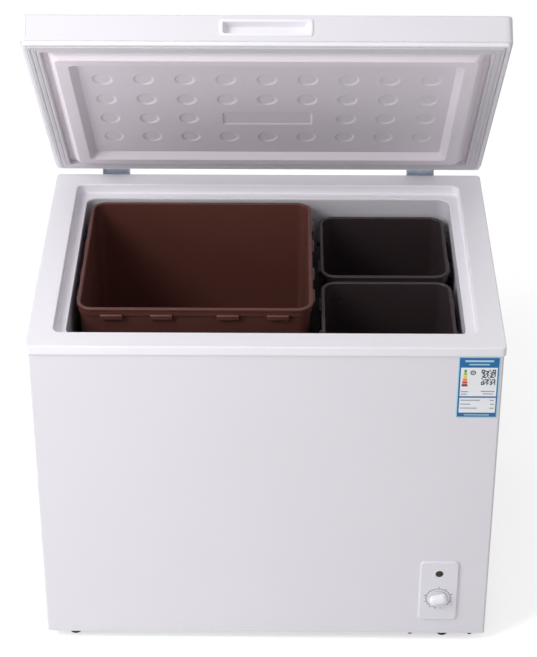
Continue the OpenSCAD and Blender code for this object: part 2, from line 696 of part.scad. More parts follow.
module thermostat() color("lightgray") in_place() difference() {
    union() {
        block(plate_x - 18, plate_x + 18, 4, 40, knob_z - 18, knob_z + 18);
        rod_y(plate_x, 0, 5, knob_z, 8);
        block(plate_x - 22, plate_x + 22, 2.5, 4, knob_z - 12, knob_z + 12);
    }
    rod_y(plate_x, -1, 22, knob_z, shaft_r + hair);
}

module thermostat_shaft() color("goldenrod") in_place()
    rod_y(plate_x, -plate_t - knob_h + 4, 21.5, knob_z, shaft_r);

module knob() color("whitesmoke") in_place() difference() {
    union() {
        rod_y(plate_x, -plate_t - 4, -plate_t - 0.5, knob_z, knob_r);
        translate([plate_x, 0, knob_z]) rotate([0, -knob_tilt, 0]) translate([0, 0, -4.5])
            plaque(0, 0, 2 * knob_r - 1, 9, -plate_t - knob_h, -plate_t - 3, 4.4);
    }
    rod_y(plate_x, -plate_t - knob_h + 4, 0, knob_z, shaft_r);
}

module information_card() color("lightblue") in_place()
    plaque(xs - corner_r - card_w / 2 - 1, z_rim - band_h - 2 - card_h, card_w, card_h, -0.3, 0, 1);

// ---- Back and base ----

module cord_gland() color("black") in_place() difference() {
    union() {
        rod_y(grille_x0 + 66, cabinet_d + 1.5, cabinet_d + 7, grille_z0 + 30, 11);
        rod_y(grille_x0 + 66, cabinet_d - 8, cabinet_d + 2, grille_z0 + 30, 8);
    }
    rod_y(grille_x0 + 66, cabinet_d - 20, cabinet_d + 9, grille_z0 + 30, 4);
}

module rear_grille() color("gray") in_place() difference() {
    block(grille_x0, grille_x1, cabinet_d, cabinet_d + 1.5, grille_z0, grille_z1);
    for (k = [0 : 8]) block(grille_x0 + 24, grille_x1 - 24, cabinet_d - 1, cabinet_d + 3,
        grille_z0 + 56 + 14 * k, grille_z0 + 62 + 14 * k);
    rod_y(grille_x0 + 66, cabinet_d - 1, cabinet_d + 3, grille_z0 + 30, 8);
    for (p = grille_sites) rod_y(p[0], cabinet_d - 1, cabinet_d + 3, p[1], screw_r + hair);
}

module grille_screws() color("silver") in_place()
    for (p = grille_sites) screw_back(p[0], cabinet_d + 1.5, p[1], 8);

module back_panel_screws() color("silver") in_place()
    for (p = back_screws) screw_back(p[0], cabinet_d, p[1], 8);

module base_screws() color("dimgray") in_place()
    for (p = base_sites) translate([p[0], p[1], z_base]) {
        translate([0, 0, -head_h]) cylinder(h = head_h, r = head_r);
        translate([0, 0, -skim]) cylinder(h = 9, r = screw_r);
    }

module feet() color("black") in_place()
    for (p = foot_sites) translate([p[0], p[1], 0]) difference() {
        cylinder(h = z_base + wrap_t, r1 = foot_r - 2.5, r2 = foot_r);
        translate([0, 0, -1]) cylinder(h = 9, r = head_r + 1);
        cylinder(h = z_base + 5, r = screw_r + hair);
    }

module foot_screws() color("silver") in_place()
    for (p = foot_sites) translate([p[0], p[1], 0]) {
        translate([0, 0, 8 - head_h]) cylinder(h = head_h, r = head_r);
        translate([0, 0, 8 - skim]) cylinder(h = z_pan + 2, r = screw_r);
    }

module drain_tube() color("lightgray") in_place()
    translate([-xs + drain_x, wall_t + wide_bin_front / 2, 0]) difference() {
        translate([0, 0, z_base - 4]) cylinder(h = z_floor - liner_t - z_base + 4, r = drain_r + 2);
        cylinder(h = z_rim, r = drain_r);
    }

module drain_plug() color("gray") in_place()
    translate([-xs + drain_x, wall_t + wide_bin_front / 2, z_floor]) {
        translate([0, 0, -12]) cylinder(h = 13, r = drain_r - seat);
        translate([0, 0, seat]) cylinder(h = 3, r = drain_r + 4);
        translate([0, 2, 3]) rotate([90, 0, 0]) difference() {
            cylinder(h = 4, r = 8);
            translate([0, 0, -1]) cylinder(h = 6, r = 4.5);
        }
    }

module drain_cap() color("gray") in_place()
    translate([-xs + drain_x, wall_t + wide_bin_front / 2, 0]) difference() {
        translate([0, 0, z_base - 10]) cylinder(h = 9.5, r = drain_r + 5);
        translate([0, 0, z_base - 7]) cylinder(h = 10, r = drain_r + 2 + seat);
    }

// ---- Hinges ----

bracket_y1 = cabinet_d + bracket_reach;
module hinge_bracket(x) color("silver") in_place() translate([x, 0, 0]) difference() {
    union() {
        for (s = [-1, 1]) {
            x0 = s > 0 ? hinge_w / 2 - hinge_t : -hinge_w / 2;
            block(x0, x0 + hinge_t, cabinet_d + 1, bracket_y1, z_rim - hinge_len, z_axis);
            rod_x(x0, x0 + hinge_t, y_axis, z_axis, axis_back - 1);
            f0 = s > 0 ? hinge_w / 2 - hinge_t : -hinge_w / 2 - ear_w;
            block(f0, f0 + ear_w + hinge_t, cabinet_d, cabinet_d + hinge_t, z_rim - hinge_len, z_rim - 6);
        }
        block(-hinge_w / 2, hinge_w / 2, bracket_y1 - hinge_t, bracket_y1, z_rim - hinge_len, z_axis - 6);
        block(-hinge_w / 2, hinge_w / 2, cabinet_d + 1, bracket_y1, z_rim - hinge_t, z_rim);
    }
    rod_x(-hinge_w, hinge_w, y_axis, z_axis, pin_r);
    for (s = [-1, 1], z = ear_rows) rod_y(s * (hinge_w + ear_w) / 2, cabinet_d - 1, cabinet_d + 5,
        z_rim - hinge_len + z, screw_r + hair);
    for (s = [-1, 1]) translate([s > 0 ? hinge_w / 2 - hinge_t - 1 : -hinge_w / 2 - 1, 0, 0])
        block(0, hinge_t + 2, y_axis + axis_back - 1 , bracket_y1 + 1, z_axis - 5, z_axis + 9);
}
module hinge_bracket_left() hinge_bracket(-hinge_x);
module hinge_bracket_right() hinge_bracket(hinge_x);

module hinge_pins() color("gray") in_place()
    for (x = [-hinge_x, hinge_x]) {
        rod_x(x - hinge_w / 2 - 2, x + hinge_w / 2 + 2, y_axis, z_axis, pin_r);
        for (e = [x - hinge_w / 2 - 2, x + hinge_w / 2]) rod_x(e, e + 2, y_axis, z_axis, pin_r + 1.2);
    }

// Spring: a wire wound round the pin, with one leg on the bracket and one on the lid leaf
coil_r = pin_r + spring_wire / 2 + 0.4;
coil_pitch = spring_wire + 0.5;
coil_steps = 8;
leaf_leg = max(1.5, (axis_back - hinge_t - spring_wire / 2 - seat - coil_r * sin(lid_open)) / cos(lid_open));
function coil_point(k) = let (a = 90 + 360 * k / coil_steps)
    [(k / coil_steps - spring_turns / 2) * coil_pitch, coil_r * cos(a), coil_r * sin(a)];
function coil_points() = concat(
    [coil_point(0) + [0, -leaf_leg, 0]],
    [for (k = [0 : spring_turns * coil_steps]) coil_point(k)],
    [coil_point(spring_turns * coil_steps) + [0, axis_back - hinge_t - 1.2, 0]]);
function heading(p, i) = unit(p[min(i + 1, len(p) - 1)] - p[max(i - 1, 0)]);

// Closed tube swept through points, six-sided
module wire(p, r) {
    n = 6;
    rings = [for (i = [0 : len(p) - 1]) let (t = heading(p, i),
        u = unit(cross(t, [1, 0.001, 0])), v = cross(t, u))
        for (j = [0 : n - 1]) p[i] + r * (cos(60 * j) * u + sin(60 * j) * v)];
    polyhedron(rings, concat(
        [[for (j = [0 : n - 1]) j]],
        [[for (j = [n - 1 : -1 : 0]) (len(p) - 1) * n + j]],
        [for (i = [0 : len(p) - 2], j = [0 : n - 1]) each let (a = i * n + j, b = i * n + (j + 1) % n)
            [[a, a + n, b + n], [a, b + n, b]]]));
}
echo(spring_least_gap = coil_pitch - spring_wire);

module hinge_spring(x) color("darkgray") in_place() translate([x, y_axis, z_axis])
    wire(coil_points(), spring_wire / 2);
module hinge_spring_left() hinge_spring(-hinge_x);
module hinge_spring_right() hinge_spring(hinge_x);

nut_plate_t = 3;
bracket_screw_len = 10;
module hinge_backing() color("gray") in_place() difference() {
    for (s = [-1, 1]) block(s * hinge_x - hinge_w / 2 - ear_w, s * hinge_x + hinge_w / 2 + ear_w,
        y_back - nut_plate_t, y_back, z_rim - hinge_len - 4, z_rim - band_h - 2);
    for (p = hinge_sites) rod_y(p[0], y_back - nut_plate_t - 1, cabinet_d, p[1], screw_r);
}

module hinge_bracket_screws() color("silver") in_place()
    for (p = hinge_sites) screw_back(p[0], cabinet_d + hinge_t, p[1], bracket_screw_len);

// ---- Lid ----

module lid_shell() color("white") on_lid() difference() {
    lid_plan(0, lid_low, lid_top, lid_r);
    lid_plan(lid_t, lid_low + lid_t, lid_top - lid_t, lid_r - lid_t);
    lid_plan(fold_w + lid_t, lid_low - 1, lid_low + 2 * lid_t, lid_r - lid_t);
    plaque(0, handle_z - handle_h / 2 + 3, handle_w - 6, handle_h - 6, lid_y0 - 1, lid_y0 + 2, 4);
    for (p = leaf_sites) rod_y(p[0], lid_y1 - 2, lid_y1 + 1, p[1], screw_r + hair);
}

module lid_liner() color("whitesmoke") on_lid() difference() {
    union() {
        difference() {
            union() {
                lid_plan(lid_t, z_sheet, z_sheet + lid_liner_t, lid_r - lid_t);
                lid_plan(fold_w + lid_t, z_sheet - lid_t - 1, z_sheet + 0.2, lid_r - lid_t);
                lid_plan(2, lid_low - lip_h, lid_low, lid_r - 2);
            }
            lid_plan(gasket_in - seat, lid_low - lip_h - 1, z_sheet, lid_r - 2);
        }
        hull() {
            lid_plan(ridge_in, z_sheet - 0.1, z_sheet, ridge_r);
            lid_plan(ridge_in + ridge_slope, z_ridge, z_ridge + 0.1, ridge_r);
        }
    }
    difference() {
        hull() {
            lid_plan(ridge_in + 1.5, z_sheet + lid_liner_t - 0.1, z_sheet + lid_liner_t + 1, ridge_r - 1);
            lid_plan(ridge_in + ridge_slope + 1, z_ridge + lid_liner_t, z_ridge + lid_liner_t + 0.1,
                ridge_r - 1);
        }
        hull() {
            lid_plan(panel_in - panel_slope - 2, z_ridge, z_ridge + 0.1, 12);
            lid_plan(panel_in - 2, z_panel + lid_liner_t - 0.1, z_panel + lid_liner_t, 12);
        }
        dimples(lid_liner_t, 0);
    }
    hull() {
        lid_plan(panel_in - panel_slope, z_ridge - 0.1, z_ridge, 12);
        lid_plan(panel_in, z_panel - 0.1, z_panel, 12);
    }
    dimples(0, -0.2);
}

// Obround dimples and one long panel, pressed up into the lid's inner moulding
module dimples(grow, low) {
    y_mid_lid = (lid_y0 + lid_y1) / 2;
    for (i = [0 : dimple_cols - 1], j = [0 : dimple_rows - 1])
        if (j != 1 || i < 3 || i > 5)
            translate([(i - (dimple_cols - 1) / 2) * dimple_dx,
                y_mid_lid + (j - (dimple_rows - 1) / 2) * -dimple_dy, z_panel + low])
                linear_extrude(dimple_deep + grow - low) {
                    square([2 * (dimple_r + grow), dimple_long], center = true);
                    for (t = [-0.5, 0.5]) translate([0, t * dimple_long]) circle(dimple_r + grow);
                }
    half = [for (v = panel_box) v / 2 + grow];
    translate([0, y_mid_lid + dimple_dy / 2, 0])
        slab(-half[0], half[0], -half[1], half[1], z_panel + low, z_panel + dimple_deep + grow, 3);
}

module lid_foam() color("khaki") on_lid() difference() {
    lid_plan(lid_t, z_sheet + lid_liner_t, lid_top - lid_t, lid_r - lid_t);
    plaque(0, handle_z - handle_h / 2 - 1, handle_w + 2, handle_h + 2, lid_y0, lid_y0 + handle_deep + 3, 3);
    for (s = [-1, 1]) block(s * hinge_x - 26, s * hinge_x + 26, lid_y1 - 12, lid_y1,
        lid_low + 8, lid_top - 4);
    dimples(lid_liner_t + 0.2, 0);
}

module lid_gasket() color("gainsboro") on_lid() difference() {
    lid_plan(gasket_in, -axis_rise + seat, z_sheet, lid_r - 2);
    lid_plan(gasket_in + gasket_w, -axis_rise - 1, z_sheet + 1, 6);
    for (g = [5, 12]) difference() {
        lid_plan(gasket_in + g, -axis_rise - 1, -axis_rise + 3, 5);
        lid_plan(gasket_in + g + 2, -axis_rise - 2, -axis_rise + 4, 4);
    }
}

handle_z = (lid_low + lid_top) / 2;
module lid_handle() color("white") on_lid() difference() {
    union() {
        plaque(0, handle_z - handle_h / 2, handle_w, handle_h, lid_y0 - handle_proud, lid_y0, 4);
        plaque(0, handle_z - handle_h / 2 + 3, handle_w - 6, handle_h - 6, lid_y0 - 1,
            lid_y0 + handle_deep, 4);
    }
    plaque(0, handle_z - handle_h / 2 + handle_edge, handle_w - 2 * handle_edge, handle_h - 2 * handle_edge,
        lid_y0 - 5, lid_y0 + handle_deep - 2, 3);
}

leaf_half = hinge_w / 2 - hinge_t - 2;
module lid_leaf(x) color("silver") on_lid() translate([x, 0, 0]) difference() {
    union() {
        block(-leaf_half, leaf_half, lid_y1, lid_y1 + hinge_t, lid_low + 2, lid_top - 4);
        for (s = [-1, 1]) {
            x0 = s > 0 ? leaf_half - hinge_t : -leaf_half;
            block(x0, x0 + hinge_t, lid_y1, 0, -pin_r - 2, pin_r + 2);
            rod_x(x0, x0 + hinge_t, 0, 0, pin_r + 2);
        }
    }
    rod_x(-leaf_half - 1, leaf_half + 1, 0, 0, pin_r + hair);
    for (t = [-1, 1]) rod_y(t * 9, lid_y1 - 1, 0, lid_low + 26, screw_r + hair);
}
module lid_leaf_left() lid_leaf(-hinge_x);
module lid_leaf_right() lid_leaf(hinge_x);

module lid_leaf_screws() color("silver") on_lid()
    for (p = leaf_sites) screw_back(p[0], lid_y1 + hinge_t, p[1], 12);

module lid_backing() color("gray") on_lid() difference() {
    for (s = [-1, 1]) block(s * hinge_x - 24, s * hinge_x + 24, lid_y1 - lid_t - 3, lid_y1 - lid_t,
        lid_low + 10, lid_top - 6);
    for (p = leaf_sites) rod_y(p[0], lid_y1 - 20, lid_y1, p[1], screw_r);
}

// ---- Bins ----

// Open bin with a banded rim, drawn-in walls and clip lugs
module bin(x0, x1, y0, y1, z0, h, lug_x, lug_y) {
    z1 = z0 + h;
    w = 2;
    difference() {
        union() {
            hull() {
                slab(x0 + bin_draft, x1 - bin_draft, y0 + bin_draft, y1 - bin_draft, z0, z0 + 1, bin_r);
                slab(x0 + w, x1 - w, y0 + w, y1 - w, z1 - 1, z1, bin_r);
            }
            slab(x0, x1, y0, y1, z1 - bin_band_h, z1, bin_r + w);
            for (u = lug_x, s = [0, 1]) translate([(x0 + x1) / 2 + u - lug[0] / 2,
                s == 0 ? y0 - lug[1] : y1 - w, z1 - bin_band_h - 2]) cube([lug[0], lug[1] + w, lug[2]]);
            for (u = lug_y, s = [0, 1]) translate([s == 0 ? x0 - lug[1] : x1 - w,
                (y0 + y1) / 2 + u - lug[0] / 2, z1 - bin_band_h - 2]) cube([lug[1] + w, lug[0], lug[2]]);
        }
        hull() {
            slab(x0 + bin_draft + bin_t, x1 - bin_draft - bin_t, y0 + bin_draft + bin_t,
                y1 - bin_draft - bin_t, z0 + bin_t, z0 + bin_t + 1, bin_r - bin_t);
            slab(x0 + w + bin_t, x1 - w - bin_t, y0 + w + bin_t, y1 - w - bin_t, z1, z1 + 1, bin_r - bin_t);
        }
    }
}

wide_lugs_x = [-135, -54, 54, 135];
wide_lugs_y = [-110, -44, 44, 110];
narrow_lugs = [-48, 48];

module bin_upper() color("saddlebrown") in_place()
    bin(wide_x0, wide_x1, wide_y0, wide_y1, wide_top - wide_h, wide_h, wide_lugs_x, wide_lugs_y);
module bin_lower() color("saddlebrown") in_place()
    bin(wide_x0, wide_x1, wide_y0, wide_y1, z_floor + seat, wide_h, wide_lugs_x, wide_lugs_y);

module bin_lower_lid() color("sienna") in_place() {
    z = z_floor + wide_h + 2 * seat;
    difference() {
        slab(wide_x0 - 3, wide_x1 + 3, wide_y0 - 3, wide_y1 + 3, z - 8, z + bin_lid_t, bin_r + 4);
        slab(wide_x0 - seat, wide_x1 + seat, wide_y0 - seat, wide_y1 + seat, z - 9, z, bin_r + 2);
        slab(wide_x0 + 6, wide_x1 - 6, wide_y0 + 6, wide_y1 - 6, z - 9, z + bin_lid_t - 3, bin_r);
    }
}

module bin_rear() color("#2e2020") in_place()
    bin(narrow_x0, narrow_x1, narrow_y0 + narrow_d + bin_between, narrow_y0 + 2 * narrow_d + bin_between,
        narrow_top - narrow_h, narrow_h, narrow_lugs, narrow_lugs);
module bin_front() color("#2e2020") in_place()
    bin(narrow_x0, narrow_x1, narrow_y0, narrow_y0 + narrow_d,
        narrow_top - narrow_h, narrow_h, narrow_lugs, narrow_lugs);

outer_wrap();
back_panel();
base_pan();
rim_frame();
inner_liner();
cabinet_foam();
compartment_box();
evaporator_tube();
condenser_tube();
compressor_top();
compressor_base();
compressor_motor();
compressor_rail();
compressor_grommets();
compressor_bolts();
relay_cover();
filter_drier();
suction_pipe();
discharge_pipe();
capillary_tube();
thermostat();
thermostat_shaft();
knob();
control_plate();
indicator_lens();
indicator_lamp();
information_card();
cord_gland();
rear_grille();
grille_screws();
back_panel_screws();
base_screws();
feet();
foot_screws();
drain_tube();
drain_plug();
drain_cap();
hinge_bracket_left();
hinge_bracket_right();
hinge_pins();
hinge_spring_left();
hinge_spring_right();
hinge_backing();
hinge_bracket_screws();
lid_shell();
lid_liner();
lid_foam();
lid_gasket();
lid_handle();
lid_leaf_left();
lid_leaf_right();
lid_leaf_screws();
lid_backing();
bin_upper();
bin_lower();
bin_lower_lid();
bin_rear();
bin_front();
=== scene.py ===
import json
import math

import bpy
import numpy as np
from mathutils import Matrix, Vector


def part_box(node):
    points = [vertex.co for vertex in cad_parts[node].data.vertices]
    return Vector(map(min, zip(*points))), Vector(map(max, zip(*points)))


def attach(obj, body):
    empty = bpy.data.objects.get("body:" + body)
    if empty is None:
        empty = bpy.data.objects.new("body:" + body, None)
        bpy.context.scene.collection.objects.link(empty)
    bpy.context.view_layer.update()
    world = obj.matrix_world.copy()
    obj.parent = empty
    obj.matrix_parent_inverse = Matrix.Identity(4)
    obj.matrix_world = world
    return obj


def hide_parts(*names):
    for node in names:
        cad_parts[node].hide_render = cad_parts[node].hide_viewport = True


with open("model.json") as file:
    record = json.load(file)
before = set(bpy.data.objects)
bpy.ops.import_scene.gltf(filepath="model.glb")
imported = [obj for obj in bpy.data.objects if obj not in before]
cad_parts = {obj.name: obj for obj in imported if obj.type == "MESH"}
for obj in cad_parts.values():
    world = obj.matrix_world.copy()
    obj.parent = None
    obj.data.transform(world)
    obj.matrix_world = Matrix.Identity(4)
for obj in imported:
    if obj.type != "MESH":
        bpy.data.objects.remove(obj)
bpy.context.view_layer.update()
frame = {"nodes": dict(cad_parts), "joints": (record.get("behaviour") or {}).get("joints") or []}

# ---------------------------------------------------------------------------
# Camera, floor and lights: a pale studio. The camera stands in front of the
# cabinet and looks down on the open mouth, a little from the middle. Two
# softboxes stand on the left, and a weak one hangs over the cabinet.
# ---------------------------------------------------------------------------
picture_h, focal_px, film_w = 657, 2056.0, 36.0
camera_at = (0.0264, -2.9137, 2.4159)
pitch, turn = math.radians(32.065), math.radians(-0.466)

bpy.context.scene.view_settings.view_transform = "Standard"
camera_data = bpy.data.cameras.new("camera")
camera = bpy.data.objects.new("camera", camera_data)
bpy.context.scene.collection.objects.link(camera)
camera_data.sensor_fit = "AUTO"
camera_data.sensor_width = film_w
camera_data.lens = film_w * focal_px / picture_h
camera_data.shift_y = -0.1
camera_data.clip_end = 60.0
forward = np.array([math.sin(turn) * math.cos(pitch), math.cos(turn) * math.cos(pitch),
                    -math.sin(pitch)])
right = np.array([math.cos(turn), -math.sin(turn), 0.0])
up = np.cross(right, forward)
axes = np.column_stack([right, up, -forward])
camera.matrix_world = Matrix([[*row, at] for row, at in zip(axes, camera_at)] + [[0, 0, 0, 1]])
bpy.context.scene.camera = camera

floor_half, paper_tone, paper_lift, dim_sky = 9.0, 0.86, 0.5, 0.46
floor_mesh = bpy.data.meshes.new("floor")
floor_mesh.from_pydata([(-floor_half, -floor_half, 0), (floor_half, -floor_half, 0),
                        (floor_half, floor_half, 0), (-floor_half, floor_half, 0)], [], [(0, 1, 2, 3)])
floor = bpy.data.objects.new("floor", floor_mesh)
bpy.context.scene.collection.objects.link(floor)
paper = bpy.data.materials.new("studio_paper")
paper.use_nodes = True
paper_nodes, paper_links = paper.node_tree.nodes, paper.node_tree.links
paper_nodes.clear()
seen = paper_nodes.new("ShaderNodeLightPath")
matt = paper_nodes.new("ShaderNodeBsdfDiffuse")
matt.inputs["Color"].default_value = (paper_tone, paper_tone, paper_tone, 1)
lift = paper_nodes.new("ShaderNodeEmission")
lift.inputs["Color"].default_value = (1, 1, 1, 1)
lift_by = paper_nodes.new("ShaderNodeMath")
lift_by.operation = "MULTIPLY"
lift_by.inputs[1].default_value = paper_lift
both = paper_nodes.new("ShaderNodeAddShader")
out = paper_nodes.new("ShaderNodeOutputMaterial")
paper_links.new(seen.outputs["Is Camera Ray"], lift_by.inputs[0])
paper_links.new(lift_by.outputs[0], lift.inputs["Strength"])
paper_links.new(matt.outputs[0], both.inputs[0])
paper_links.new(lift.outputs[0], both.inputs[1])
paper_links.new(both.outputs[0], out.inputs["Surface"])
floor_mesh.materials.append(paper)

world = bpy.data.worlds.new("studio")
bpy.context.scene.world = world
world.use_nodes = True
world_nodes, world_links = world.node_tree.nodes, world.node_tree.links
world_nodes.clear()
ray = world_nodes.new("ShaderNodeLightPath")
clear_rays = world_nodes.new("ShaderNodeMath")
clear_rays.operation = "MAXIMUM"
mirror_rays = world_nodes.new("ShaderNodeMath")
mirror_rays.operation = "MAXIMUM"
sky_level = world_nodes.new("ShaderNodeMapRange")
sky_level.inputs["To Min"].default_value = dim_sky
sky_level.inputs["To Max"].default_value = 1.0
sky = world_nodes.new("ShaderNodeBackground")
sky.inputs["Color"].default_value = (1, 1, 1, 1)
world_out = world_nodes.new("ShaderNodeOutputWorld")
world_links.new(ray.outputs["Is Camera Ray"], mirror_rays.inputs[0])
world_links.new(ray.outputs["Is Glossy Ray"], mirror_rays.inputs[1])
world_links.new(mirror_rays.outputs[0], clear_rays.inputs[0])
world_links.new(ray.outputs["Is Transmission Ray"], clear_rays.inputs[1])
world_links.new(clear_rays.outputs[0], sky_level.inputs["Value"])
world_links.new(sky_level.outputs["Result"], sky.inputs["Strength"])
world_links.new(sky.outputs[0], world_out.inputs["Surface"])

for lamp_name, lamp_at, lamp_turn, lamp_size, watts in (
        ("softbox_left", (-1.7, -1.35, 2.35), (49, 0, -51), 1.0, 37.0),
        ("softbox_low", (-2.4, -1.6, 1.0), (82, 0, -58), 1.3, 24.0),
        ("softbox_top", (-0.3, -0.2, 3.6), (4, 0, 0), 2.4, 11.0)):
    lamp = bpy.data.lights.new(lamp_name, "AREA")
    lamp.shape = "SQUARE"
    lamp.size = lamp_size
    lamp.energy = watts
    lamp_object = bpy.data.objects.new(lamp_name, lamp)
    lamp_object.location = lamp_at
    lamp_object.rotation_euler = [math.radians(a) for a in lamp_turn]
    bpy.context.scene.collection.objects.link(lamp_object)


# ---------------------------------------------------------------------------
# Cabinet skin: white-painted sheet steel, bent round the front and both sides.
# The paint has a faint orange peel.
# ---------------------------------------------------------------------------
def linear(r, g, b):
    """A colour as a picture stores it, 0 to 255, made linear: ((c + 0.055) / 1.055) ** 2.4 above the toe."""
    c = np.array([r, g, b]) / 255.0
    return (*np.where(c > 0.04045, ((c + 0.055) / 1.055) ** 2.4, c / 12.92), 1.0)


def finish_of(name, colour, other, rough, spread, patch, grain, depth, metal=0.0, coat=0.0):
    """A surface finish: two close colours mixed by slow noise, roughness that wanders by `spread`, and a
    fine bump of noise scale `grain`, `depth` mm deep. `patch` is the slow noise's scale, `coat` a clear
    top layer."""
    m = bpy.data.materials.new(name)
    m.use_nodes = True
    nodes, links = m.node_tree.nodes, m.node_tree.links
    shader = nodes["Principled BSDF"]
    shader.inputs["Metallic"].default_value = metal
    shader.inputs["Coat Weight"].default_value = coat
    shader.inputs["Coat Roughness"].default_value = 0.08
    place = nodes.new("ShaderNodeTexCoord")
    slow = nodes.new("ShaderNodeTexNoise")
    slow.inputs["Scale"].default_value = patch
    slow.inputs["Detail"].default_value = 4.0
    mix = nodes.new("ShaderNodeMix")
    mix.data_type = "RGBA"
    mix.inputs["A"].default_value = colour
    mix.inputs["B"].default_value = other
    level = nodes.new("ShaderNodeMapRange")
    level.inputs["From Min"].default_value = 0.3
    level.inputs["From Max"].default_value = 0.7
    level.inputs["To Min"].default_value = max(rough - spread, 0.02)
    level.inputs["To Max"].default_value = min(rough + spread, 1.0)
    fine = nodes.new("ShaderNodeTexNoise")
    fine.inputs["Scale"].default_value = grain
    fine.inputs["Detail"].default_value = 2.0
    bump = nodes.new("ShaderNodeBump")
    bump.inputs["Strength"].default_value = 1.0
    bump.inputs["Distance"].default_value = depth / 1000.0
    links.new(place.outputs["Object"], slow.inputs["Vector"])
    links.new(place.outputs["Object"], fine.inputs["Vector"])
    links.new(slow.outputs["Fac"], mix.inputs["Factor"])
    links.new(mix.outputs["Result"], shader.inputs["Base Color"])
    links.new(slow.outputs["Fac"], level.inputs["Value"])
    links.new(level.outputs["Result"], shader.inputs["Roughness"])
    links.new(fine.outputs["Fac"], bump.inputs["Height"])
    links.new(bump.outputs["Normal"], shader.inputs["Normal"])
    return m


def dress(material, *names):
    """Gives CAD nodes a finish, in every material slot that they have."""
    for n in names:
        mesh = frame["nodes"][n].data
        if not mesh.materials:
            mesh.materials.append(material)
        for i in range(len(mesh.materials)):
            mesh.materials[i] = material


white_paint = finish_of("white_paint", linear(229, 226, 233), linear(225, 222, 229), 0.34, 0.05,
                        5.0, 420.0, 0.012, coat=0.15)
dress(white_paint, "outer_wrap")

# ---------------------------------------------------------------------------
# Back and base: bare galvanised sheet, with the zinc's faint grey patches. The
# compartment's sheet, its rail and the plates behind the hinges are the same.
# ---------------------------------------------------------------------------
zinc = finish_of("zinc", linear(186, 188, 190), linear(160, 163, 166), 0.42, 0.10, 26.0, 300.0, 0.01,
                 metal=0.85)
dress(zinc, "back_panel", "base_pan", "compartment_box", "compressor_rail", "hinge_backing",
      "lid_backing")


# ---------------------------------------------------------------------------
# Rim: a white moulding that caps the cabinet, with a flat top, a drop inside
# and a narrow ledge above the liner. Its edges are softly rounded.
# ---------------------------------------------------------------------------
def rounded_line(points, radii, turns=5):
    """A line of corners made round: each corner is cut back by r * tan(half the turn) on both sides, or
    by 0.48 of the shorter side where that is less, and filled with an arc of `turns` steps. A support
    point lies up to 0.6 mm past each end of the arc."""
    p = [np.array(q, float) for q in points]
    line = [p[0]]
    for i in range(1, len(p) - 1):
        r = radii[i]
        a, b = p[i] - p[i - 1], p[i + 1] - p[i]
        la, lb = np.linalg.norm(a), np.linalg.norm(b)
        a, b = a / la, b / lb
        bend = math.acos(max(-1.0, min(1.0, float(a @ b))))
        if r <= 0 or bend < 1e-3:
            line.append(p[i])
            continue
        cut = min(r * math.tan(bend / 2), 0.48 * la, 0.48 * lb)
        r = cut / math.tan(bend / 2)
        side = math.copysign(1.0, a[0] * b[1] - a[1] * b[0])
        centre = p[i] - a * cut + side * r * np.array([-a[1], a[0]])
        line.append(p[i] - a * (cut + min(0.6, 0.3 * (la - cut))))
        for k in range(turns + 1):
            t = side * bend * k / turns
            arm = -side * r * np.array([-a[1], a[0]])
            line.append(centre + np.array([math.cos(t) * arm[0] - math.sin(t) * arm[1],
                                           math.sin(t) * arm[0] + math.cos(t) * arm[1]]))
        line.append(p[i] + b * (cut + min(0.6, 0.3 * (lb - cut))))
    line.append(p[-1])
    return np.array(line)


def ring_grid(x0, x1, y0, y1, z, r, turns=8):
    """Rounded rectangles stacked into a grid: row i is the rectangle x0[i]..x1[i] by y0[i]..y1[i] at height
    z[i] with corner radius r[i], and point j lies on it at the angle j of its four quarter arcs."""
    x0, x1, y0, y1, z, r = (np.asarray(v, float) for v in (x0, x1, y0, y1, z, r))
    quarter = np.linspace(0, math.pi / 2, turns + 1)
    rows = []
    for cx, cy, start in ((x1 - r, y1 - r, 0.0), (x0 + r, y1 - r, math.pi / 2),
                          (x0 + r, y0 + r, math.pi), (x1 - r, y0 + r, 1.5 * math.pi)):
        a = quarter + start
        rows.append(np.stack([cx[:, None] + r[:, None] * np.cos(a), cy[:, None] + r[:, None] * np.sin(a),
                              np.repeat(z[:, None], len(a), 1)], -1))
    return np.concatenate(rows, 1)


def closed_quads(rows, columns, wrap=True, flip=False):
    """Faces of a grid of `rows` by `columns` points, joined round its columns when `wrap` is true, and
    turned over when `flip` is true."""
    i, j = np.meshgrid(np.arange(rows - 1), np.arange(columns if wrap else columns - 1), indexing="ij")
    k = (j + 1) % columns
    low, high = i * columns, (i + 1) * columns
    q = np.stack([low + j, low + k, high + k, high + j], -1).reshape(-1, 4)
    return q[:, ::-1] if flip else q


def make_piece(name, parts, material, body, stands_for=()):
    """One mesh from a list of (points, faces), smooth but for creases over 35 degrees. It rides on a body,
    and hides the CAD nodes it stands for."""
    crease = math.radians(35)
    points, faces, start = [], [], 0
    for p, f in parts:
        p = np.asarray(p, float).reshape(-1, 3)
        points.append(p)
        faces += [tuple(int(v) + start for v in q) for q in f]
        start += len(p)
    mesh = bpy.data.meshes.new(name)
    mesh.from_pydata(np.concatenate(points).tolist(), [], faces)
    mesh.polygons.foreach_set("use_smooth", np.ones(len(mesh.polygons), bool))
    mesh.set_sharp_from_angle(angle=crease)
    mesh.materials.append(material)
    mesh.validate()
    piece = bpy.data.objects.new(name, mesh)
    bpy.context.scene.collection.objects.link(piece)
    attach(piece, body)
    if stands_for:
        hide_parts(*stands_for)
    return piece


def in_metres(points, shift=(0, 0, 0)):
    """Millimetres to metres, after a shift."""
    return (np.asarray(points, float) + np.asarray(shift, float)) / 1000.0


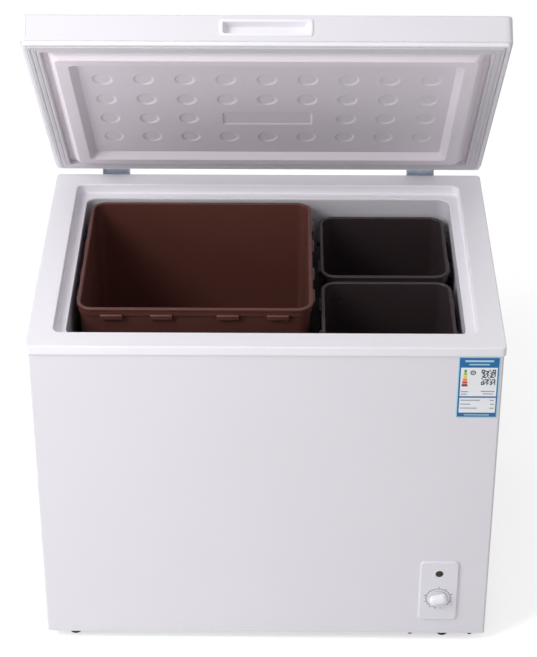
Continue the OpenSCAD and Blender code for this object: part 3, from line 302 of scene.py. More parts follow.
rim_low, rim_high = (np.array(v) * 1000 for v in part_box("rim_frame"))
rim_x, rim_front, rim_back, rim_top = rim_high[0], rim_low[1], rim_high[1], rim_high[2]
skirt_t, skirt_h, flat_w, back_flat_w = 3.0, 16.0, 41.0, 38.0
drop_h, drop_lean, ledge_in, ledge_t, ledge_return = 18.0, 0.4, 58.0, 2.5, 8.0
rim_line = rounded_line(
    [(skirt_t, -skirt_h), (0, -skirt_h), (0, 0), (flat_w, 0), (flat_w + drop_lean, -drop_h),
     (ledge_in, -drop_h), (ledge_in, -drop_h - ledge_t), (ledge_in - ledge_return, -drop_h - ledge_t)],
    [0, 0.8, 2.2, 2.2, 2.6, 1.2, 0.4, 0])
rim_d = rim_line[:, 0]
rim_corner = np.interp(rim_d, [0, skirt_t, flat_w - 3, flat_w, ledge_in], [7, 4.5, 12, 14, 20])
# The back edge stands a little proud of the back sheet, so that no two faces lie in one plane.
back_proud = 0.25
rim_points = ring_grid(-rim_x + rim_d, rim_x - rim_d, rim_front + rim_d,
                       rim_back + back_proud - rim_d * back_flat_w / flat_w, rim_top + rim_line[:, 1],
                       rim_corner)
white_moulding = finish_of("white_moulding", linear(242, 240, 246), linear(238, 236, 242), 0.36, 0.05,
                           7.0, 900.0, 0.01)
make_piece("rim_moulding", [(in_metres(rim_points), closed_quads(*rim_points.shape[:2]))],
           white_moulding, "cabinet", ["rim_frame"])

# ---------------------------------------------------------------------------
# Inner liner and drain tube: light grey, finely grained plastic. The yellow
# foam behind the liner and inside the lid is poured in and sets hard.
# ---------------------------------------------------------------------------
liner_sheet = finish_of("liner_sheet", linear(210, 208, 214), linear(203, 201, 208), 0.38, 0.08,
                        6.0, 260.0, 0.03)
dress(liner_sheet, "inner_liner", "drain_tube")
foam_yellow = finish_of("foam_yellow", linear(226, 208, 150), linear(214, 192, 130), 0.85, 0.08,
                        60.0, 900.0, 0.3)
dress(foam_yellow, "cabinet_foam", "lid_foam")


# ---------------------------------------------------------------------------
# Lift-out bins: moulded polypropylene, drawn in towards the base, with a
# banded rim, a rolled lip and clip lugs under it. The wide ones are brown, the
# narrow ones nearly black.
# ---------------------------------------------------------------------------
bin_wall, bin_draft, bin_corner, band_h, band_draft = 2.5, 9.0, 22.0, 15.0, 2.0
lip_out, lip_h, lip_start = 1.6, 4.4, 5.0
clip_reach, clip_w, clip_h, clip_drop = 5.0, 36.0, 9.5, 4.5


def bin_shape(box_low, box_high, lugs_x, lugs_y):
    """A bin as one skin: out from the middle of its base, up the drawn-in wall, out to the rim band, over
    the lip and down inside to the middle of the floor. Lugs are rounded blocks under the band."""
    x0, y0, z0 = box_low + np.array([clip_reach, clip_reach, 0])
    x1, y1, z1 = box_high - np.array([clip_reach, clip_reach, 0])
    h = z1 - z0
    middle = min(x1 - x0, y1 - y0) / 2 - 1.0
    under_band = band_draft + (bin_draft - band_draft) * band_h / h
    line = rounded_line(
        [(middle, 0), (bin_draft, 0), (under_band, h - band_h), (0, h - band_h), (0, h - lip_start),
         (-lip_out, h - lip_h), (-lip_out, h), (band_draft + bin_wall, h),
         (band_draft + bin_wall, h - 3), (bin_draft + bin_wall, bin_wall), (middle, bin_wall)],
        [0, 9, 1.2, 1.0, 0.6, 0.6, 1.6, 1.4, 0.8, 10, 0])
    d = line[:, 0]
    r = np.where(d > 30, 1.0, np.clip(bin_corner + 2 - d, 1.0, None))
    grid = ring_grid(x0 + d, x1 - d, y0 + d, y1 - d, z0 + line[:, 1], r)
    n = grid.shape[1]
    parts = [(grid, closed_quads(grid.shape[0], n)),
             (grid[0], [tuple(range(n))[::-1]]), (grid[-1], [tuple(range(n))])]
    clip_z = z1 - band_h - clip_drop
    for u in lugs_x:
        for face, at in ((-1, y0), (1, y1)):
            parts.append(clip_lug((x0 + x1) / 2 + u, at, clip_z, face, False))
    for u in lugs_y:
        for face, at in ((-1, x0), (1, x1)):
            parts.append(clip_lug(at, (y0 + y1) / 2 + u, clip_z, face, True))
    return [(in_metres(p), f) for p, f in parts]


def clip_lug(x, y, z, face, along_y):
    """A clip lug: a low block with rounded edges that stands out of the rim, as stacked rounded
    rectangles whose size follows a quarter circle at both ends."""
    s = clip_h * np.array([0.5, 0.2, 0.08, 0.0, 0.0, 0.0, 0.0, 0.08, 0.2, 0.5])
    z_of = z + clip_h * np.array([0.0, 0.0, 0.04, 0.14, 0.3, 0.7, 0.86, 0.96, 1.0, 1.0])
    levels = len(s)
    corner_r = np.full(levels, 0.6)
    half_w, deep = clip_w / 2 - s, clip_reach - s
    out_of = np.full(levels, x if along_y else y)
    near, far = (out_of, out_of + deep) if face > 0 else (out_of - deep, out_of)
    if along_y:
        g = ring_grid(near, far, y - half_w, y + half_w, z_of, corner_r, 2)
    else:
        g = ring_grid(x - half_w, x + half_w, near, far, z_of, corner_r, 2)
    n = g.shape[1]
    ends = [tuple(range(n))[::-1], tuple(range((levels - 1) * n, levels * n))]
    return g, closed_quads(levels, n).tolist() + ends


brown_bin = finish_of("brown_bin", linear(98, 58, 50), linear(86, 50, 44), 0.36, 0.08, 14.0, 1100.0,
                      0.02)
dark_bin = finish_of("dark_bin", linear(58, 48, 50), linear(50, 41, 43), 0.34, 0.08, 14.0, 1100.0, 0.02)
wide_lugs_x, wide_lugs_y, narrow_lugs = (-135, -54, 54, 135), (-110, -44, 44, 110), (-48, 48)
for bin_name, bin_finish, bin_slot, lugs_x, lugs_y in (
        ("bin_upper", brown_bin, "brown_plastic", wide_lugs_x, wide_lugs_y),
        ("bin_lower", brown_bin, "brown_plastic", wide_lugs_x, wide_lugs_y),
        ("bin_rear", dark_bin, "dark_plastic", narrow_lugs, narrow_lugs),
        ("bin_front", dark_bin, "dark_plastic", narrow_lugs, narrow_lugs)):
    low, high = (np.array(v) * 1000 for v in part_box(bin_name))
    make_piece(bin_name + "_shell", bin_shape(low, high, lugs_x, lugs_y), bin_finish, bin_name,
               [bin_name])
dress(brown_bin, "bin_lower_lid")

# ---------------------------------------------------------------------------
# Lid pan: painted steel, folded down into a skirt, with a fine joint near each
# end of the front skirt and an opening for the handle. It is hinged at the back.
# All pieces of the lid are worked out with the lid shut and then turned open.
# ---------------------------------------------------------------------------
hinge = next(j for j in frame["joints"] if j["name"] == "lid_hinge")
hinge_at = np.array(hinge["pos_m"]) * 1000
lid_angle = -math.radians(hinge["range_deg"][0])
lid_x, lid_front, lid_back, lid_low, lid_top = 375.5, -551.0, -8.0, -12.0, 32.0


def turned_open(points):
    """Points of the shut lid, from its hinge axis in mm, turned up by the angle it stands open at."""
    p = np.asarray(points, float).reshape(-1, 3)
    c, s = math.cos(lid_angle), math.sin(lid_angle)
    opened = np.stack([p[:, 0], p[:, 1] * c + p[:, 2] * s, -p[:, 1] * s + p[:, 2] * c], -1)
    return (opened + hinge_at) / 1000.0


def lid_ring(line, corner, turns=10):
    """Rounded rectangles over the lid's plan: each row of `line` is (inset from the edge, height)."""
    d = line[:, 0]
    return ring_grid(-lid_x + d, lid_x - d, lid_front + d, lid_back - d, line[:, 1], corner, turns)


grip_x, grip_low, grip_high = 68.0, -1.0, 21.0
fold_w, pan_corner, top_bend, joint_depth = 8.0, 8.0, 3.0, 0.5
pan_line = rounded_line(
    [(fold_w, lid_low + 1), (fold_w, lid_low), (0, lid_low), (0, grip_low), (0, grip_high),
     (0, lid_top), (5 * fold_w, lid_top)],
    [0, 0, 1.0, 0, 0, top_bend, 0], 7)
pan = lid_ring(pan_line, np.clip(pan_corner - pan_line[:, 0], 1.0, None))
joint_deep = joint_depth * ((pan_line[:, 0] < 0.3) & (pan_line[:, 1] < lid_top - top_bend))
arc = pan.shape[1] // 4
left_end, right_end = pan[:, 3 * arc - 1], pan[:, 3 * arc]
joint_steps = ((0.6, 0), (1.0, 1), (1.4, 0))
left_joint = [left_end + np.stack([np.full(len(pan), off), dent * joint_deep, 0 * joint_deep], -1)
              for off, dent in joint_steps]
right_joint = [right_end + np.stack([np.full(len(pan), -off), dent * joint_deep, 0 * joint_deep], -1)
               for off, dent in reversed(joint_steps)]
grip_sides = [np.stack([np.full(len(pan), x), left_end[:, 1], left_end[:, 2]], -1)
              for x in (-grip_x, grip_x)]
pan = np.concatenate([pan[:, :3 * arc], np.stack(left_joint + grip_sides + right_joint, 1),
                      pan[:, 3 * arc:]], 1)
pan_faces = closed_quads(*pan.shape[:2])
face_middle = pan.reshape(-1, 3)[pan_faces].mean(1)
behind_grip = (np.abs(face_middle[:, 0]) < grip_x) & (np.abs(face_middle[:, 1] - lid_front) < 0.1) \
    & (face_middle[:, 2] > grip_low) & (face_middle[:, 2] < grip_high)
make_piece("lid_pan", [(turned_open(pan), pan_faces[~behind_grip]),
                       (turned_open(pan[-1]), [tuple(range(pan.shape[1]))])],
           white_paint, "lid", ["lid_shell"])

# ---------------------------------------------------------------------------
# Lid's inner moulding: vacuum-formed white sheet with a lip at the edge, a
# channel for the gasket, a ridge that drops into the mouth, and a sunk panel
# with pressed dimples that stiffen it.
# ---------------------------------------------------------------------------
edge_in, edge_low, channel_in, channel_z = 3.0, -18.0, 9.7, -11.0
ridge_foot, ridge_out, ridge_in, ridge_low = 36.0, 48.0, 68.0, -25.0
panel_foot, panel_in, panel_z = 79.0, 84.0, -13.0
moulding_line = rounded_line(
    [(edge_in, channel_z - 0.5), (edge_in, edge_low), (channel_in, edge_low), (channel_in, channel_z),
     (ridge_foot, channel_z), (ridge_out, ridge_low), (ridge_in, ridge_low), (panel_foot, panel_z),
     (panel_in, panel_z)],
    [0, 2.0, 1.0, 0, 2.0, 2.8, 2.6, 2.0, 0], 6)
moulding_corner = np.interp(
    moulding_line[:, 0],
    [edge_in, channel_in, ridge_foot, ridge_out, ridge_in, panel_foot, panel_in],
    [6, 3, 10, 9, 9, 8, 0.3])
moulding = lid_ring(moulding_line, moulding_corner)
edge_faces = int((moulding_line[:, 0] < channel_in - 0.1).sum()) * moulding.shape[1]
dimples_across, dimples_up, dimple_step_x, dimple_step_y = 9, 4, 65.3, 82.0
dimple_half_x, dimple_half_y, pressed, slope_w = 16.0, 21.5, 1.6, 2.6
field_half_x, field_half_y, field_corner = 71.0, 22.0, 3.0


def panel_surface(columns=330, rows=200):
    """The panel as a height over a grid: flat, less a smooth step inside each oval dimple and inside one
    long rounded rectangle, where three dimples are left out; each step is 3t^2 - 2t^3 over the width of
    its slope, and the distance inside an oval is taken from its mean radius."""
    x = np.linspace(-lid_x + panel_in, lid_x - panel_in, columns)
    y = np.linspace(lid_front + panel_in, lid_back - panel_in, rows)
    x, y = np.meshgrid(x, y)
    middle, mean_r = (lid_front + lid_back) / 2, 18.0
    inside = np.full(x.shape, -99.0)
    for i in range(dimples_across):
        for j in range(dimples_up):
            if j == 1 and 3 <= i <= 5:
                continue
            dx = x - (i - (dimples_across - 1) / 2) * dimple_step_x
            dy = y - (middle - (j - (dimples_up - 1) / 2) * dimple_step_y)
            inside = np.maximum(inside, mean_r * (1 - np.hypot(dx / dimple_half_x, dy / dimple_half_y)))
    qx = np.abs(x) - field_half_x
    qy = np.abs(y - (middle + dimple_step_y / 2)) - field_half_y
    past_corner = np.hypot(np.clip(qx, 0, None), np.clip(qy, 0, None))
    inside = np.maximum(inside, -(past_corner + np.minimum(np.maximum(qx, qy), 0) - field_corner))
    t = np.clip(inside / slope_w, 0, 1)
    z = panel_z + pressed * t * t * (3 - 2 * t)
    return np.stack([x, y, z], -1)


panel = panel_surface()
# The moulding is white sheet. Its faint mauve tint is painted bounce light from red food in the bins, which
# the scene leaves out.
lid_white_painted_bounce = finish_of("lid_white_painted_bounce", linear(238, 230, 239), linear(233, 224, 233), 0.42, 0.06, 7.0, 800.0,
                      0.01)
lid_inside = make_piece(
    "lid_moulding", [(turned_open(moulding), closed_quads(*moulding.shape[:2], flip=True)),
                     (turned_open(panel), closed_quads(*panel.shape[:2], wrap=False, flip=True))],
    lid_white_painted_bounce, "lid", ["lid_liner"])
lid_inside.data.materials.append(white_moulding)
on_edge = np.arange(len(lid_inside.data.polygons)) < edge_faces
lid_inside.data.polygons.foreach_set("material_index", on_edge.astype(np.int32))

# ---------------------------------------------------------------------------
# Gasket: soft grey rubber with a magnet strip inside, pressed into its channel.
# Two grooves run along its face, and its edges are rounded off. The drain's
# plug and cap are the same rubber.
# ---------------------------------------------------------------------------
seal_in, seal_w, seal_z = 10.0, 19.0, -20.0
across = np.linspace(0, seal_w, 58)


def groove(at, deep, half_w):
    """A groove along the gasket, `at` mm from its outer edge: deep * exp(-((u - at) / half_w)^2)."""
    return deep * np.exp(-((across - at) / half_w) ** 2)


seal_face = seal_z + (0.3 + groove(5.6, 0.9, 0.9) + groove(13.4, 0.9, 0.9) + groove(0, 2.0, 0.8)
                      + groove(seal_w, 1.2, 0.8))
gasket_line = np.concatenate([[[seal_in, channel_z]], np.stack([seal_in + across, seal_face], -1),
                              [[seal_in + seal_w, channel_z]]])
gasket = lid_ring(gasket_line, np.interp(gasket_line[:, 0], [seal_in, seal_in + seal_w], [4, 6]))
grey_rubber = finish_of("grey_rubber", linear(214, 210, 216), linear(206, 202, 209), 0.6, 0.08,
                        20.0, 1200.0, 0.02)
make_piece("lid_seal", [(turned_open(gasket), closed_quads(*gasket.shape[:2], flip=True))],
           grey_rubber, "lid", ["lid_gasket"])
dress(grey_rubber, "drain_plug", "drain_cap")

# ---------------------------------------------------------------------------
# Handle: a white moulded frame let into the middle of the front skirt, with a
# finger recess whose ends slope in.
# ---------------------------------------------------------------------------
frame_w, frame_t, recess_deep, end_lean = 3.0, 1.5, 12.0, 4.0
handle_line = rounded_line(
    [(frame_w, 10), (frame_w, 0), (0, 0), (0, -frame_t), (4.6, -frame_t), (7.4, recess_deep - 0.4),
     (10, recess_deep)],
    [0, 0, 0, 1.0, 0.8, 2.4, 0], 5)
handle_d = handle_line[:, 0]
end_slope = end_lean * np.clip((handle_line[:, 1] + 1.0) / (recess_deep + 1.0), 0, 1) * (handle_d > 4)
handle_x = grip_x + frame_w - handle_d - end_slope
handle = ring_grid(-handle_x, handle_x, grip_low - frame_w + handle_d, grip_high + frame_w - handle_d,
                   handle_line[:, 1], np.clip(4.5 - 0.3 * handle_d, 1.5, None), 6)
handle = np.stack([handle[..., 0], lid_front + handle[..., 2], handle[..., 1]], -1)
make_piece("lid_grip", [(turned_open(handle), closed_quads(*handle.shape[:2])),
                        (turned_open(handle[-1]), [tuple(range(handle.shape[1]))])],
           white_moulding, "lid", ["lid_handle"])

# ---------------------------------------------------------------------------
# Hinges and screws: bent steel, zinc-plated to a soft shine. The springs that
# hold the lid open are wound of darker wire.
# ---------------------------------------------------------------------------
bright_steel = finish_of("bright_steel", linear(214, 219, 228), linear(190, 197, 209), 0.3, 0.06,
                         24.0, 900.0, 0.004, metal=1.0)
dress(bright_steel, "hinge_bracket_left", "hinge_bracket_right", "lid_leaf_left", "lid_leaf_right",
      "hinge_pins", "hinge_bracket_screws", "lid_leaf_screws", "back_panel_screws", "grille_screws",
      "foot_screws", "compressor_bolts")
spring_wire = finish_of("spring_wire", linear(140, 146, 156), linear(118, 124, 134), 0.35, 0.08,
                        90.0, 900.0, 0.01, metal=0.8)
dress(spring_wire, "hinge_spring_left", "hinge_spring_right")


# ---------------------------------------------------------------------------
# Control plate: a white moulded plate with a rounded edge, a low ring about
# the lens, and a printed grey scale round the knob.
# ---------------------------------------------------------------------------
def facing_front(grid, x, y, z):
    """A shape drawn lying flat, turned up to face the front, with its origin at x, y, z."""
    return in_metres(np.stack([x + grid[..., 0], y - grid[..., 2], z + grid[..., 1]], -1))


def turned_round(line, steps=72):
    """A profile of (radius, height) turned round its axis: row i is the circle of radius i at height i."""
    a = np.linspace(0, 2 * math.pi, steps, endpoint=False)
    line = np.asarray(line, float)
    r, height = line[:, :1], line[:, 1:]
    return np.stack([r * np.cos(a), r * np.sin(a), np.repeat(height, steps, 1)], -1)


def capped(grid):
    """A grid of rings with a last face that closes its inner ring."""
    rows, n = grid.shape[:2]
    return closed_quads(rows, n).tolist() + [tuple(range((rows - 1) * n, rows * n))]


plate_low, plate_high = (np.array(v) * 1000 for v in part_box("control_plate"))
plate_x, skin_y, plate_z = (plate_low[0] + plate_high[0]) / 2, plate_high[1], plate_low[2]
plate_w, plate_h, plate_t = plate_high[0] - plate_low[0], plate_high[2] - plate_low[2], 3.0
lens_z, knob_z = (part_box(n)[0][2] * 500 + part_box(n)[1][2] * 500
                  for n in ("indicator_lens", "thermostat_shaft"))
plate_corner, plate_edge, lens_r, ring_w, ring_rise = 7.0, 1.9, 7.2, 2.0, 0.5
plate_line = rounded_line([(0, 0), (0.4, plate_t), (8, plate_t)], [0, plate_edge, 0], 8)
plate_d = plate_line[:, 0]
plate = ring_grid(-plate_w / 2 + plate_d, plate_w / 2 - plate_d, plate_d, plate_h - plate_d,
                  plate_line[:, 1], np.clip(plate_corner - 0.7 * plate_d, 2, None))
ring = turned_round(rounded_line(
    [(lens_r + ring_w, plate_t - 0.3), (lens_r + ring_w - 0.2, plate_t + ring_rise),
     (lens_r + 0.2, plate_t + ring_rise), (lens_r, plate_t - 1.0)], [0, 0.5, 0.3, 0]))
plate_white = finish_of("plate_white", linear(231, 229, 236), linear(227, 225, 232), 0.38, 0.05,
                        9.0, 900.0, 0.01)
make_piece("control_face", [(facing_front(plate, plate_x, skin_y, plate_z), capped(plate)),
                            (facing_front(ring, plate_x, skin_y, lens_z), closed_quads(*ring.shape[:2]))],
           plate_white, "cabinet", ["control_plate"])


def printed(name):
    """A glossy ink whose colour is the mesh's own attribute "ink", lightly mottled by noise."""
    m = finish_of(name, (1, 1, 1, 1), (0.93, 0.93, 0.93, 1), 0.32, 0.05, 300.0, 1500.0, 0.004)
    nodes, links = m.node_tree.nodes, m.node_tree.links
    ink = nodes.new("ShaderNodeAttribute")
    ink.attribute_name = "ink"
    mottle = next(n for n in nodes if n.type == "MIX")
    times = nodes.new("ShaderNodeMix")
    times.data_type = "RGBA"
    times.blend_type = "MULTIPLY"
    times.inputs["Factor"].default_value = 1.0
    links.new(mottle.outputs["Result"], times.inputs["A"])
    links.new(ink.outputs["Color"], times.inputs["B"])
    links.new(times.outputs["Result"], nodes["Principled BSDF"].inputs["Base Color"])
    return m


def band(x, z, near, far, start, end, steps):
    """Part of a flat ring between two radii, from one angle to another, in degrees from the right."""
    a = np.radians(np.linspace(start, end, steps))
    edge = np.stack([np.cos(a), np.sin(a)], -1)
    return np.concatenate([far * edge, near * edge[::-1]]) + (x, z)


def make_print(name, shapes, y, material, body, parts=(), stands_for=()):
    """Flat inks that face the front: each shape is (outline counter-clockwise in x and z, colour, layer),
    and each layer lies a little before the last. `parts` are (points, faces, colour) that carry them."""
    layer_t = 0.03
    skins, colours = [], []
    for points, faces, colour in parts:
        skins.append((points, faces))
        colours += [colour] * sum(len(f) for f in faces)
    for outline, colour, layer in shapes:
        flat = np.asarray(outline, float)
        depths = np.full(len(flat), y - layer_t * layer)
        skins.append((in_metres(np.stack([flat[:, 0], depths, flat[:, 1]], -1)),
                      [tuple(range(len(flat)))]))
        colours += [colour] * len(flat)
    piece = make_piece(name, skins, material, body, stands_for)
    ink = piece.data.attributes.new("ink", "FLOAT_COLOR", "CORNER")
    ink.data.foreach_set("color", np.array(colours, float).ravel())


scale_ink = linear(112, 112, 122)
scale_in, scale_out, tick_in = 19.9, 21.1, 21.6
dot_ring, dot_angle, dot_r = 22.0, math.radians(-79), 1.1
marks = [(band(0, 0, scale_in, scale_out, start, end, 40), scale_ink, 1)
         for start, end in ((-44, 90), (90, 230), (238, 262))]
for angle, reach, half_w in (
        (-18, 24.6, 0.5), (2, 24.2, 0.4), (21, 25.6, 0.8), (56, 24.8, 0.45), (88, 25.2, 0.45),
        (165, 25.4, 0.75), (178, 24.0, 0.35), (198, 24.8, 0.55), (215, 23.6, 0.4), (235, 24.6, 0.6),
        (260, 25.0, 0.6)):
    c, s = math.cos(math.radians(angle)), math.sin(math.radians(angle))
    tick = np.array([(tick_in, -half_w), (reach, -half_w), (reach, half_w), (tick_in, half_w)])
    marks.append((tick @ np.array([[c, s], [-s, c]]), scale_ink, 1))
marks.append((band(dot_ring * math.cos(dot_angle), dot_ring * math.sin(dot_angle), 0.02, dot_r, 0, 359.9, 24),
              scale_ink, 1))
print_ink = printed("print_ink")
make_print("control_scale", [(np.asarray(m) + (plate_x, knob_z), c, k) for m, c, k in marks],
           skin_y - plate_t, print_ink, "cabinet")

# ---------------------------------------------------------------------------
# Lens: a dark brown plastic button, slightly domed, before the amber lamp.
# Behind the plate stands the thermostat's white housing.
# ---------------------------------------------------------------------------
lens_brown = finish_of("lens_brown", linear(52, 32, 26), linear(42, 24, 19), 0.3, 0.04, 200.0, 900.0,
                       0.004)
dome_r, dome_h = np.array([7.15, 7.1, 6.6, 5.8, 4.6, 3.2, 1.8, 0.1]), 1.5
dome_z = plate_t - 0.6 + dome_h * np.sqrt(1 - (dome_r / lens_r) ** 2) * (np.arange(len(dome_r)) > 0)
lens = turned_round(np.stack([dome_r, dome_z], -1))
make_piece("lens_dome", [(facing_front(lens, plate_x, skin_y, lens_z), capped(lens))], lens_brown,
           "cabinet", ["indicator_lens"])
lamp_amber = finish_of("lamp_amber", linear(220, 130, 40), linear(200, 110, 30), 0.2, 0.04,
                       200.0, 900.0, 0.004)
dress(lamp_amber, "indicator_lamp")
dress(white_moulding, "thermostat")

# ---------------------------------------------------------------------------
# Knob: a white moulded disc, darkened to pale grey as painted shade, with a broad white grip bar across it,
# pushed on the thermostat's brass shaft. The bar stands a little askew.
# ---------------------------------------------------------------------------
knob_tilt, disc_r, disc_back, disc_face = math.radians(13), 15.7, 3.5, 4.8
bar_half_x, bar_half_z, bar_corner, bar_top = 15.2, 8.4, 8.0, 15.0
disc = turned_round(rounded_line(
    [(disc_r - 0.9, disc_back), (disc_r, disc_back + 0.4), (disc_r, disc_face + 0.8),
     (disc_r - 3.1, disc_face + 0.2), (0.2, disc_face)], [0, 0.3, 0.9, 2.0, 0]), 96)
bar_line = rounded_line([(-0.4, disc_face), (0.2, disc_face + 0.8), (1.2, bar_top - 2.2), (7.6, bar_top)],
                        [0, 0.8, 2.8, 0], 8)
bar_d = bar_line[:, 0]
bar = ring_grid(-bar_half_x + bar_d, bar_half_x - bar_d, -bar_half_z + bar_d, bar_half_z - bar_d,
                bar_line[:, 1], np.clip(bar_corner - bar_d, 0.3, bar_corner))
turn_c, turn_s = math.cos(knob_tilt), math.sin(knob_tilt)
bar = np.stack([bar[..., 0] * turn_c - bar[..., 1] * turn_s, bar[..., 0] * turn_s + bar[..., 1] * turn_c,
                bar[..., 2]], -1)
# The disc's pale grey is painted shade. The real disc is white like the plate, and it is made darker so that
# the grip bar stands out against it.
knob_disc_painted_shade = finish_of("knob_disc_painted_shade", linear(222, 220, 227), linear(215, 213, 220), 0.42, 0.05,
                      30.0, 900.0, 0.01)
knob_piece = make_piece("knob_grip", [(facing_front(disc, plate_x, skin_y, knob_z), capped(disc)),
                                      (facing_front(bar, plate_x, skin_y, knob_z), capped(bar))],
                        knob_disc_painted_shade, "dial", ["knob"])
knob_piece.data.materials.append(white_moulding)
on_bar = np.arange(len(knob_piece.data.polygons)) >= len(capped(disc))
knob_piece.data.polygons.foreach_set("material_index", on_bar.astype(np.int32))
brass = finish_of("brass", linear(200, 160, 90), linear(180, 140, 75), 0.3, 0.08, 90.0, 900.0, 0.01,
                  metal=1.0)
dress(brass, "thermostat_shaft")

# ---------------------------------------------------------------------------
# Information card: a plastic card stuck on the front sheet, printed with blue
# and white fields, a colour scale, a round mark, a square of dots and plain
# bars. Nothing on it can be read.
# ---------------------------------------------------------------------------
card_low, card_high = (np.array(v) * 1000 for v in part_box("information_card"))
card_w, card_h = card_high[0] - card_low[0], card_high[2] - card_low[2]


def field(u0, u1, v0, v1, u2=None, u3=None):
    """A field of the card: from u0 to u1 of its width at v0 of its height from the top, and from u2 to u3
    (or the same) at v1."""
    u2, u3 = (u0, u1) if u2 is None else (u2, u3)
    return np.array([(card_low[0] + u * card_w, card_high[2] - v * card_h)
                     for u, v in ((u2, v1), (u3, v1), (u1, v0), (u0, v0))])


def spot(u, v, near, far):
    """A round mark or ring of the card, its radii in mm."""
    return band(card_low[0] + u * card_w, card_high[2] - v * card_h, near, far, 0, 359.9, 40)


deep_blue, pale_blue, ink_white = linear(12, 104, 166), linear(176, 216, 234), linear(240, 242, 245)
slate, bar_grey = linear(70, 84, 108), linear(128, 142, 162)
card_inks = [(field(0.03, 0.97, 0.018, 0.978), deep_blue, 1),
             (field(0.07, 0.94, 0.175, 0.64), ink_white, 2), (field(0.07, 0.94, 0.665, 0.91), ink_white, 2),
             (field(0.16, 0.84, 0.055, 0.085), pale_blue, 2), (field(0.26, 0.74, 0.115, 0.135), pale_blue, 2),
             (field(0.2, 0.8, 0.94, 0.955), pale_blue, 2),
             (spot(0.362, 0.257, 0.02, 4.5), slate, 3), (spot(0.362, 0.257, 1.4, 2.6), ink_white, 4)]
scale_left, scale_right, scale_top, scale_step, scale_high = 0.155, 0.21, 0.21, 0.046, 0.27
for k, tone in enumerate((linear(52, 158, 84), linear(150, 196, 66), linear(246, 208, 54),
                          linear(238, 140, 50), linear(214, 74, 48), linear(150, 40, 44))):
    va, vb = scale_top + scale_step * k, scale_top + scale_step * (k + 0.86)
    ta, tb = (va - scale_top) / scale_high, (vb - scale_top) / scale_high
    card_inks.append((field(scale_left - 0.055 * ta, scale_right + 0.035 * ta, va, vb,
                            scale_left - 0.055 * tb, scale_right + 0.035 * tb), tone, 3))
half_bar = 0.007
for u0, u1, v in (
        (0.1, 0.27, 0.565), (0.1, 0.24, 0.605), (0.57, 0.9, 0.56), (0.62, 0.86, 0.6),
        (0.1, 0.56, 0.705), (0.8, 0.9, 0.705), (0.1, 0.34, 0.77), (0.82, 0.9, 0.77),
        (0.1, 0.5, 0.835), (0.8, 0.9, 0.835)):
    card_inks.append((field(u0, u1, v - half_bar, v + half_bar), bar_grey, 3))
cells, dots_left, dots_top, dots_w, dots_h = 13, 0.56, 0.205, 0.34, 0.25
for i in range(cells):
    for j in range(cells):
        corner_square = (min(i, cells - 1 - i) < 3) and j < 3 or i < 3 and j > cells - 4
        ring_cell = corner_square and not (min(i, cells - 1 - i) == 1 and min(j, cells - 1 - j) == 1)
        if ring_cell or (not corner_square and (i * i * 3 + j * j * 5 + i * j) % 7 < 3):
            card_inks.append((field(dots_left + dots_w * i / cells, dots_left + dots_w * (i + 1) / cells,
                                    dots_top + dots_h * j / cells, dots_top + dots_h * (j + 1) / cells),
                              slate, 3))
card_t, card_corner = 0.3, 2.0
card_line = np.array([(0, 0), (0, card_t - 0.1), (0.15, card_t), (1.0, card_t)])
card_d = card_line[:, 0]
card = ring_grid(-card_w / 2 + card_d, card_w / 2 - card_d, card_d, card_h - card_d, card_line[:, 1],
                 np.clip(card_corner - card_d, 1, None), 4)
make_print("card_print", card_inks, card_low[1], print_ink, "cabinet",
           [(facing_front(card, (card_low[0] + card_high[0]) / 2, card_high[1], card_low[2]), capped(card),
             pale_blue)], ["information_card"])

# ---------------------------------------------------------------------------
# Feet and grille: black moulded plastic. The feet are cones that widen towards
# the base and are screwed to it. The two base screws under the front edge are
# blackened steel with rounded heads.
# ---------------------------------------------------------------------------
black_plastic = finish_of("black_plastic", linear(34, 34, 36), linear(26, 26, 28), 0.5, 0.1,
                          40.0, 900.0, 0.03)
dress(black_plastic, "feet", "rear_grille", "relay_cover", "cord_gland", "compressor_grommets")
black_steel = finish_of("black_steel", linear(36, 36, 38), linear(26, 26, 28), 0.35, 0.1,
                        40.0, 900.0, 0.02, metal=0.3)
dress(black_steel, "compressor_top", "compressor_base")
screws_low, screws_high = (np.array(v) * 1000 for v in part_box("base_screws"))
feet_low, feet_high = (np.array(v) * 1000 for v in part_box("feet"))
cabinet_h, seated = 590.0, 1.0
base_z = rim_top - cabinet_h
top_z = base_z + seated
head_r, head_h, head_in, screw_half = 4.6, 6.0, 5.4, 4.0
foot_r, foot_top_r, foot_half = 9.4, 13.6, 12.5
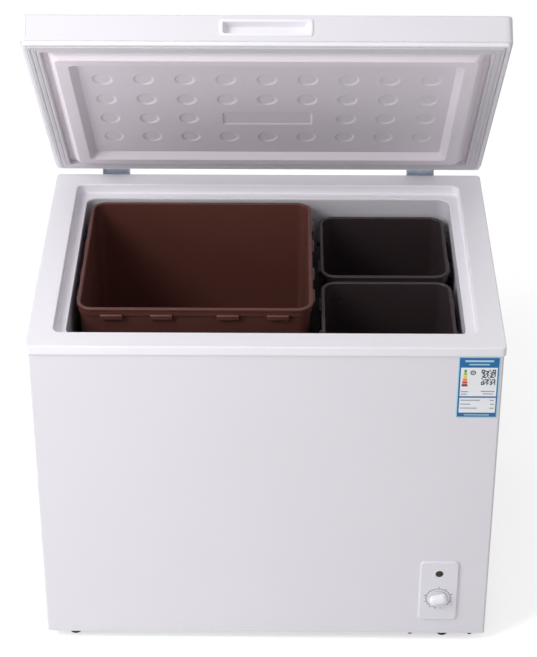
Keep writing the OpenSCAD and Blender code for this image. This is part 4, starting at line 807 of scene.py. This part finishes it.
pan_head = turned_round(rounded_line(
    [(0.2, base_z - head_h), (head_r, base_z - head_h + 1.8), (head_r - 0.2, top_z), (0.2, top_z)],
    [0, 2.2, 0.4, 0]), 40)
foot_cone = turned_round(rounded_line([(0.2, 0), (foot_r, 0), (foot_top_r, top_z), (0.2, top_z)],
                                      [0, 1.2, 0.6, 0]), 64)


def both_ends(grid):
    """A grid of rings, lowest first, with faces that close its first and last ring."""
    rows, n = grid.shape[:2]
    return closed_quads(rows, n).tolist() + [tuple(range(n))[::-1], tuple(range((rows - 1) * n, rows * n))]


make_piece("base_screw_heads", [(in_metres(pan_head, (x, skin_y + head_in, 0)), both_ends(pan_head))
                                for x in (screws_low[0] + screw_half, screws_high[0] - screw_half)],
           black_steel, "cabinet", ["base_screws"])
make_piece("foot_cones", [(in_metres(foot_cone, (x, y, 0)), both_ends(foot_cone))
                          for x in (feet_low[0] + foot_half, feet_high[0] - foot_half)
                          for y in (feet_low[1] + foot_half, feet_high[1] - foot_half)],
           black_plastic, "cabinet", ["feet"])

# ---------------------------------------------------------------------------
# Refrigerant circuit: copper pipes and drier, an aluminium evaporator tube wound
# round the cavity, and a steel condenser tube inside the side sheet. The
# compressor's motor is cast iron.
# ---------------------------------------------------------------------------
copper = finish_of("copper", linear(196, 118, 84), linear(170, 96, 66), 0.32, 0.1, 60.0, 900.0, 0.01,
                   metal=1.0)
dress(copper, "filter_drier", "suction_pipe", "discharge_pipe", "capillary_tube")
soft_aluminium = finish_of("soft_aluminium", linear(200, 202, 205), linear(184, 186, 190), 0.4, 0.1,
                           60.0, 900.0, 0.01, metal=1.0)
dress(soft_aluminium, "evaporator_tube")
tube_steel = finish_of("tube_steel", linear(140, 140, 144), linear(118, 118, 122), 0.45, 0.1,
                       60.0, 900.0, 0.01, metal=1.0)
dress(tube_steel, "condenser_tube")
cast_iron = finish_of("cast_iron", linear(80, 80, 84), linear(64, 64, 68), 0.6, 0.1, 60.0, 500.0, 0.1,
                      metal=0.6)
dress(cast_iron, "compressor_motor")
